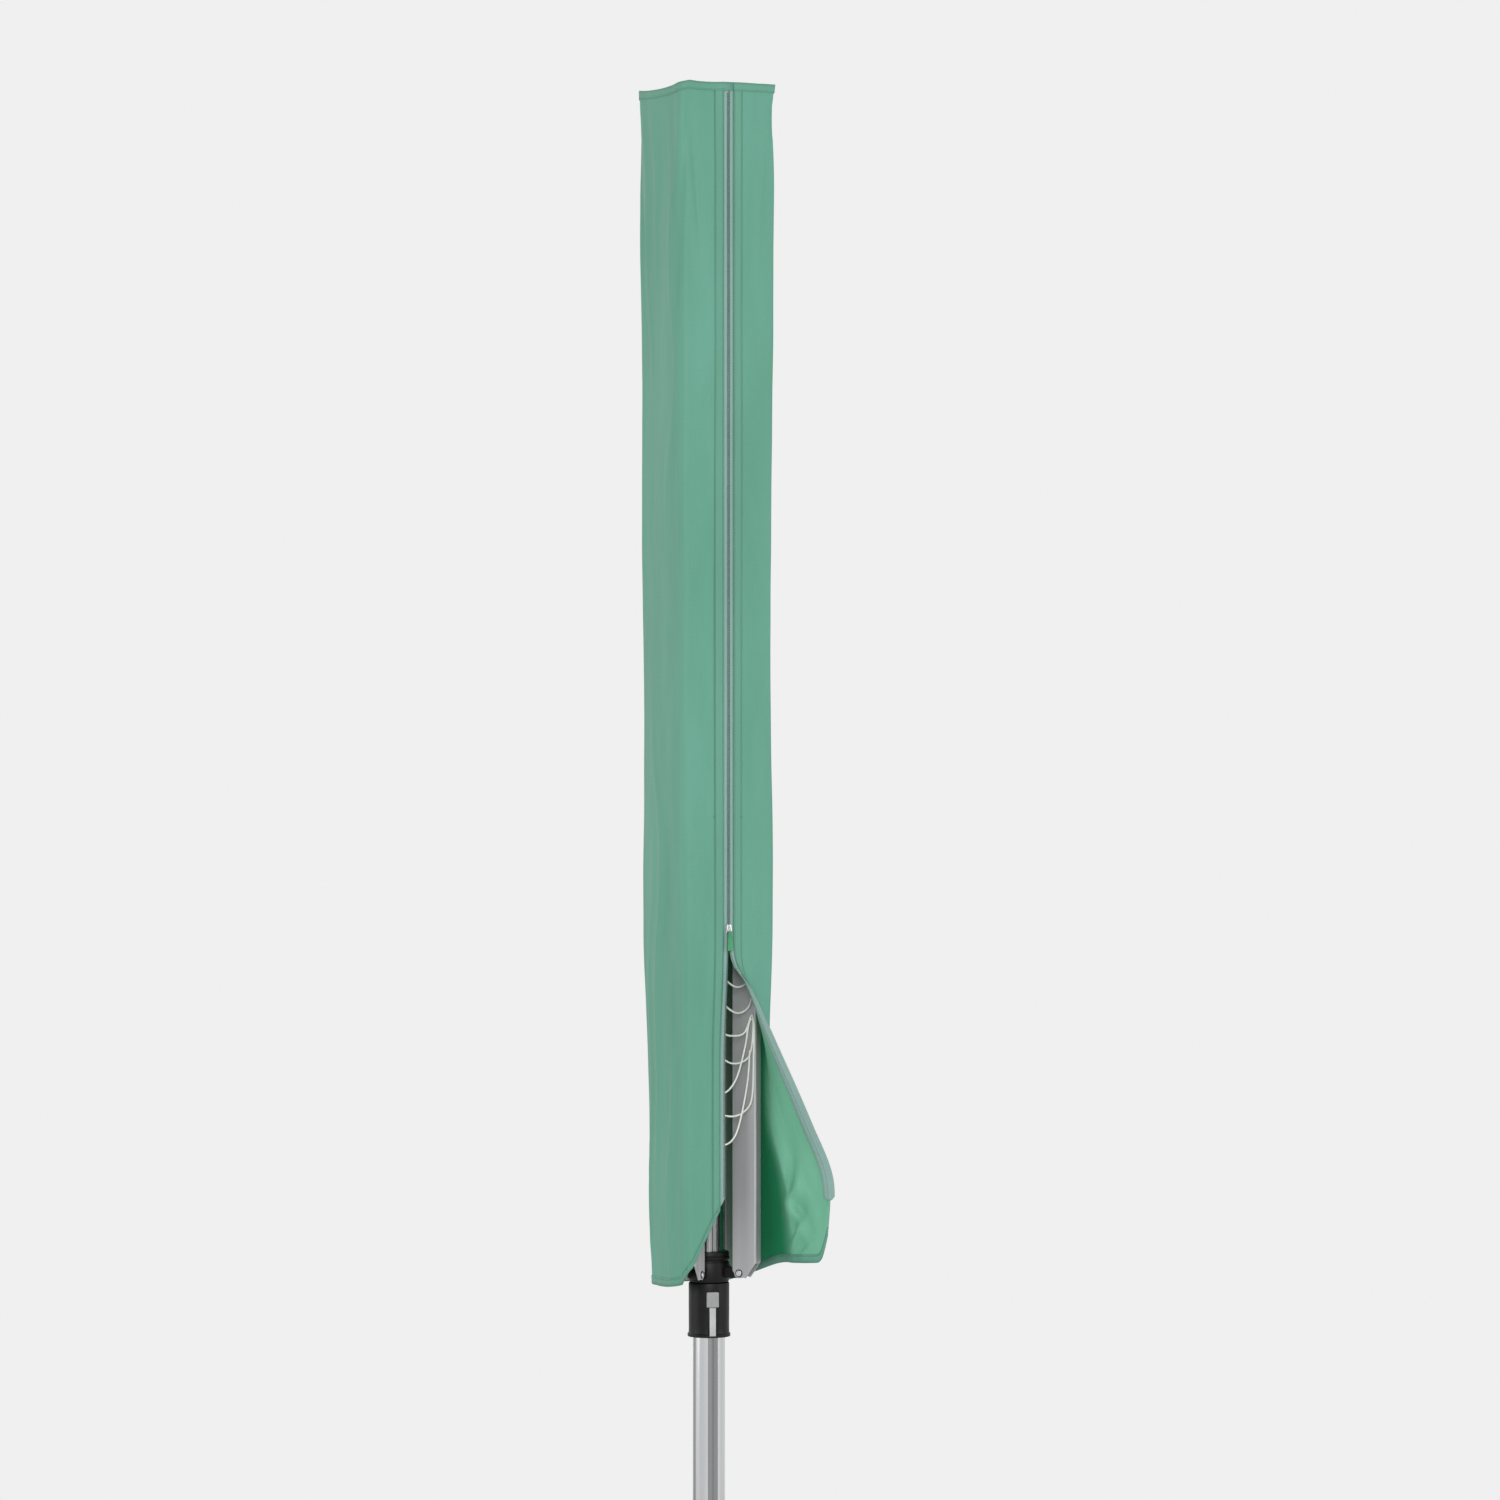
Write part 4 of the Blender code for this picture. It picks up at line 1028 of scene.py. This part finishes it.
def makeSlider():
    parts = []
    for out in (0.0024, -0.0030):      # front and back plates, narrower at the top
        plate = zipBlock(sliderStyle["plate"])
        for vert in plate.data.vertices:
            if vert.co.z > 0:
                vert.co.y *= sliderStyle["topWidth"]
        bevel = plate.modifiers.new("soft", "BEVEL")
        bevel.width, bevel.segments = sliderStyle["edge"], 3
        bpy.ops.object.modifier_apply(modifier=bevel.name)
        onZip(plate, out, 0.001)
        parts.append(plate)
    deselectAll()
    ring, wire = sliderStyle["loop"]
    bpy.ops.mesh.primitive_torus_add(major_radius=ring, minor_radius=wire, major_segments=24, minor_segments=10,
                                     rotation=(math.pi / 2, 0, 0))
    loop = bpy.context.object
    bpy.ops.object.transform_apply(location=False, rotation=True, scale=False)
    onZip(loop, 0.0042, 0.0015)
    finishZipPart(joined(parts + [loop]), "zipSlider", "zip_slider", zincSteel)


def makePull():
    pull = zipBlock(sliderStyle["pull"])
    bpy.ops.object.mode_set(mode="EDIT")
    bpy.ops.mesh.select_all(action="SELECT")
    bpy.ops.mesh.subdivide(number_cuts=6)
    bpy.ops.object.mode_set(mode="OBJECT")
    for vert in pull.data.vertices:      # tapers upwards, with grip ridges across its lower half
        share = vert.co.z / sliderStyle["pull"][2] + 0.5
        vert.co.y *= 1.0 - sliderStyle["pullTaper"] * share * share
        ridge = 0.18 if 0.15 < share < 0.6 and round(share * sliderStyle["ridges"]) % 2 else 0.0
        vert.co.x *= 0.8 + ridge
    roundEdges(pull, sliderStyle["edge"], 2)
    onZip(pull, 0.0066, -0.0172)
    finishZipPart(pull, "zipPull", "zip_pull", pullPlastic)


def makeTopPanel():
    rings = 14

    def place(i, j):
        rim = coverPoint(i if i <= lastColumn else 0, cover["top"] - 0.002)
        share = j / rings
        spot = Vector((rim.x, rim.y, 0)) * share * 0.985
        dip = 0.006 * (1 - share * share) + 0.0015 * noise.noise(Vector((spot.x * 30, spot.y * 30, 1.3)))
        return Vector((spot.x, spot.y, rim.z * share + (boltZ + cover["top"] - 0.004) * (1 - share) - dip))

    panel = gridPiece("coverTopPanel", lastColumn + 1, rings, place, lambda i, j: place(i, j).xy)
    deselectAll()
    panel.select_set(True)
    bpy.context.view_layer.objects.active = panel
    bpy.ops.object.mode_set(mode="EDIT")
    bpy.ops.mesh.select_all(action="SELECT")
    bpy.ops.mesh.remove_doubles(threshold=0.0002)
    bpy.ops.mesh.normals_make_consistent(inside=False)
    bpy.ops.object.mode_set(mode="OBJECT")
    panel.data.materials.append(coverOutside)
    thicken(panel, cover["cloth"])
    onCover(panel, "cover_cloth", "cover_top")


makeTapes()
makeCoils()
makeStitches()
makeSlider()
makePull()
makeTopPanel()
print("zip, seams and top made")


# room and light

def makeRoom():
    # a round floor, which ends before the camera would see its far edge
    deselectAll()
    bpy.ops.mesh.primitive_cylinder_add(vertices=128, radius=studio["floorRadius"], depth=0.04,
                                        location=(0, 0, -0.0205))
    floor = bpy.context.object
    bpy.ops.object.transform_apply(location=True)
    floor.name = "studioFloor"
    roundEdges(floor, 0.01, 3)
    bpy.ops.object.shade_smooth_by_angle(angle=math.radians(40))
    made, tree, shader = newMaterial("paintedFloor", Base_Color=hexColour("#EDEDED"), Roughness=0.8)
    floor.data.materials.append(made)


# direction in degrees, distance, height, size and power of each soft box
lights = {
    "keyLight": (26, 4.6, 2.5, (1.6, 2.6), 118),
    "leftLight": (-58, 3.8, 1.8, (1.4, 2.8), 42),
    "fillLight": (92, 4.0, 1.9, (1.2, 2.6), 40),
    "rimLight": (-118, 3.2, 2.0, (0.7, 2.6), 8),
}
lightColours = {"rimLight": (1.0, 0.95, 0.84)}
aimHeight = 1.5


def addLight(name, azimuth, distance, height, size, power):
    turn = math.radians(azimuth)
    place = Vector((math.sin(turn) * distance, -math.cos(turn) * distance, height))
    aim = Vector((0, 0, aimHeight)) - place
    bpy.ops.object.light_add(type="AREA", location=place, rotation=aim.to_track_quat("-Z", "Y").to_euler())
    lamp = bpy.context.object
    lamp.name = name
    lamp.data.shape = "RECTANGLE"
    lamp.data.size, lamp.data.size_y = size
    lamp.data.energy = power
    lamp.data.color = lightColours.get(name, (1.0, 1.0, 1.0))


makeRoom()
for name, values in lights.items():
    addLight(name, *values)
world = bpy.data.worlds.new("softRoom")
bpy.context.scene.world = world
world.use_nodes = True
world.node_tree.nodes["Background"].inputs["Color"].default_value = (1, 1, 1, 1)
rays = addNode(world.node_tree, "ShaderNodeLightPath").outputs["Is Diffuse Ray"]
strength = addNode(world.node_tree, "ShaderNodeMath",
                   {"operation": "MULTIPLY_ADD", 1: -studio["lessDiffuse"], 2: studio["paleWall"]}, {0: rays})
world.node_tree.links.new(strength.outputs[0], world.node_tree.nodes["Background"].inputs["Strength"])
bpy.context.scene.view_settings.view_transform = "Standard"
print("room lit")
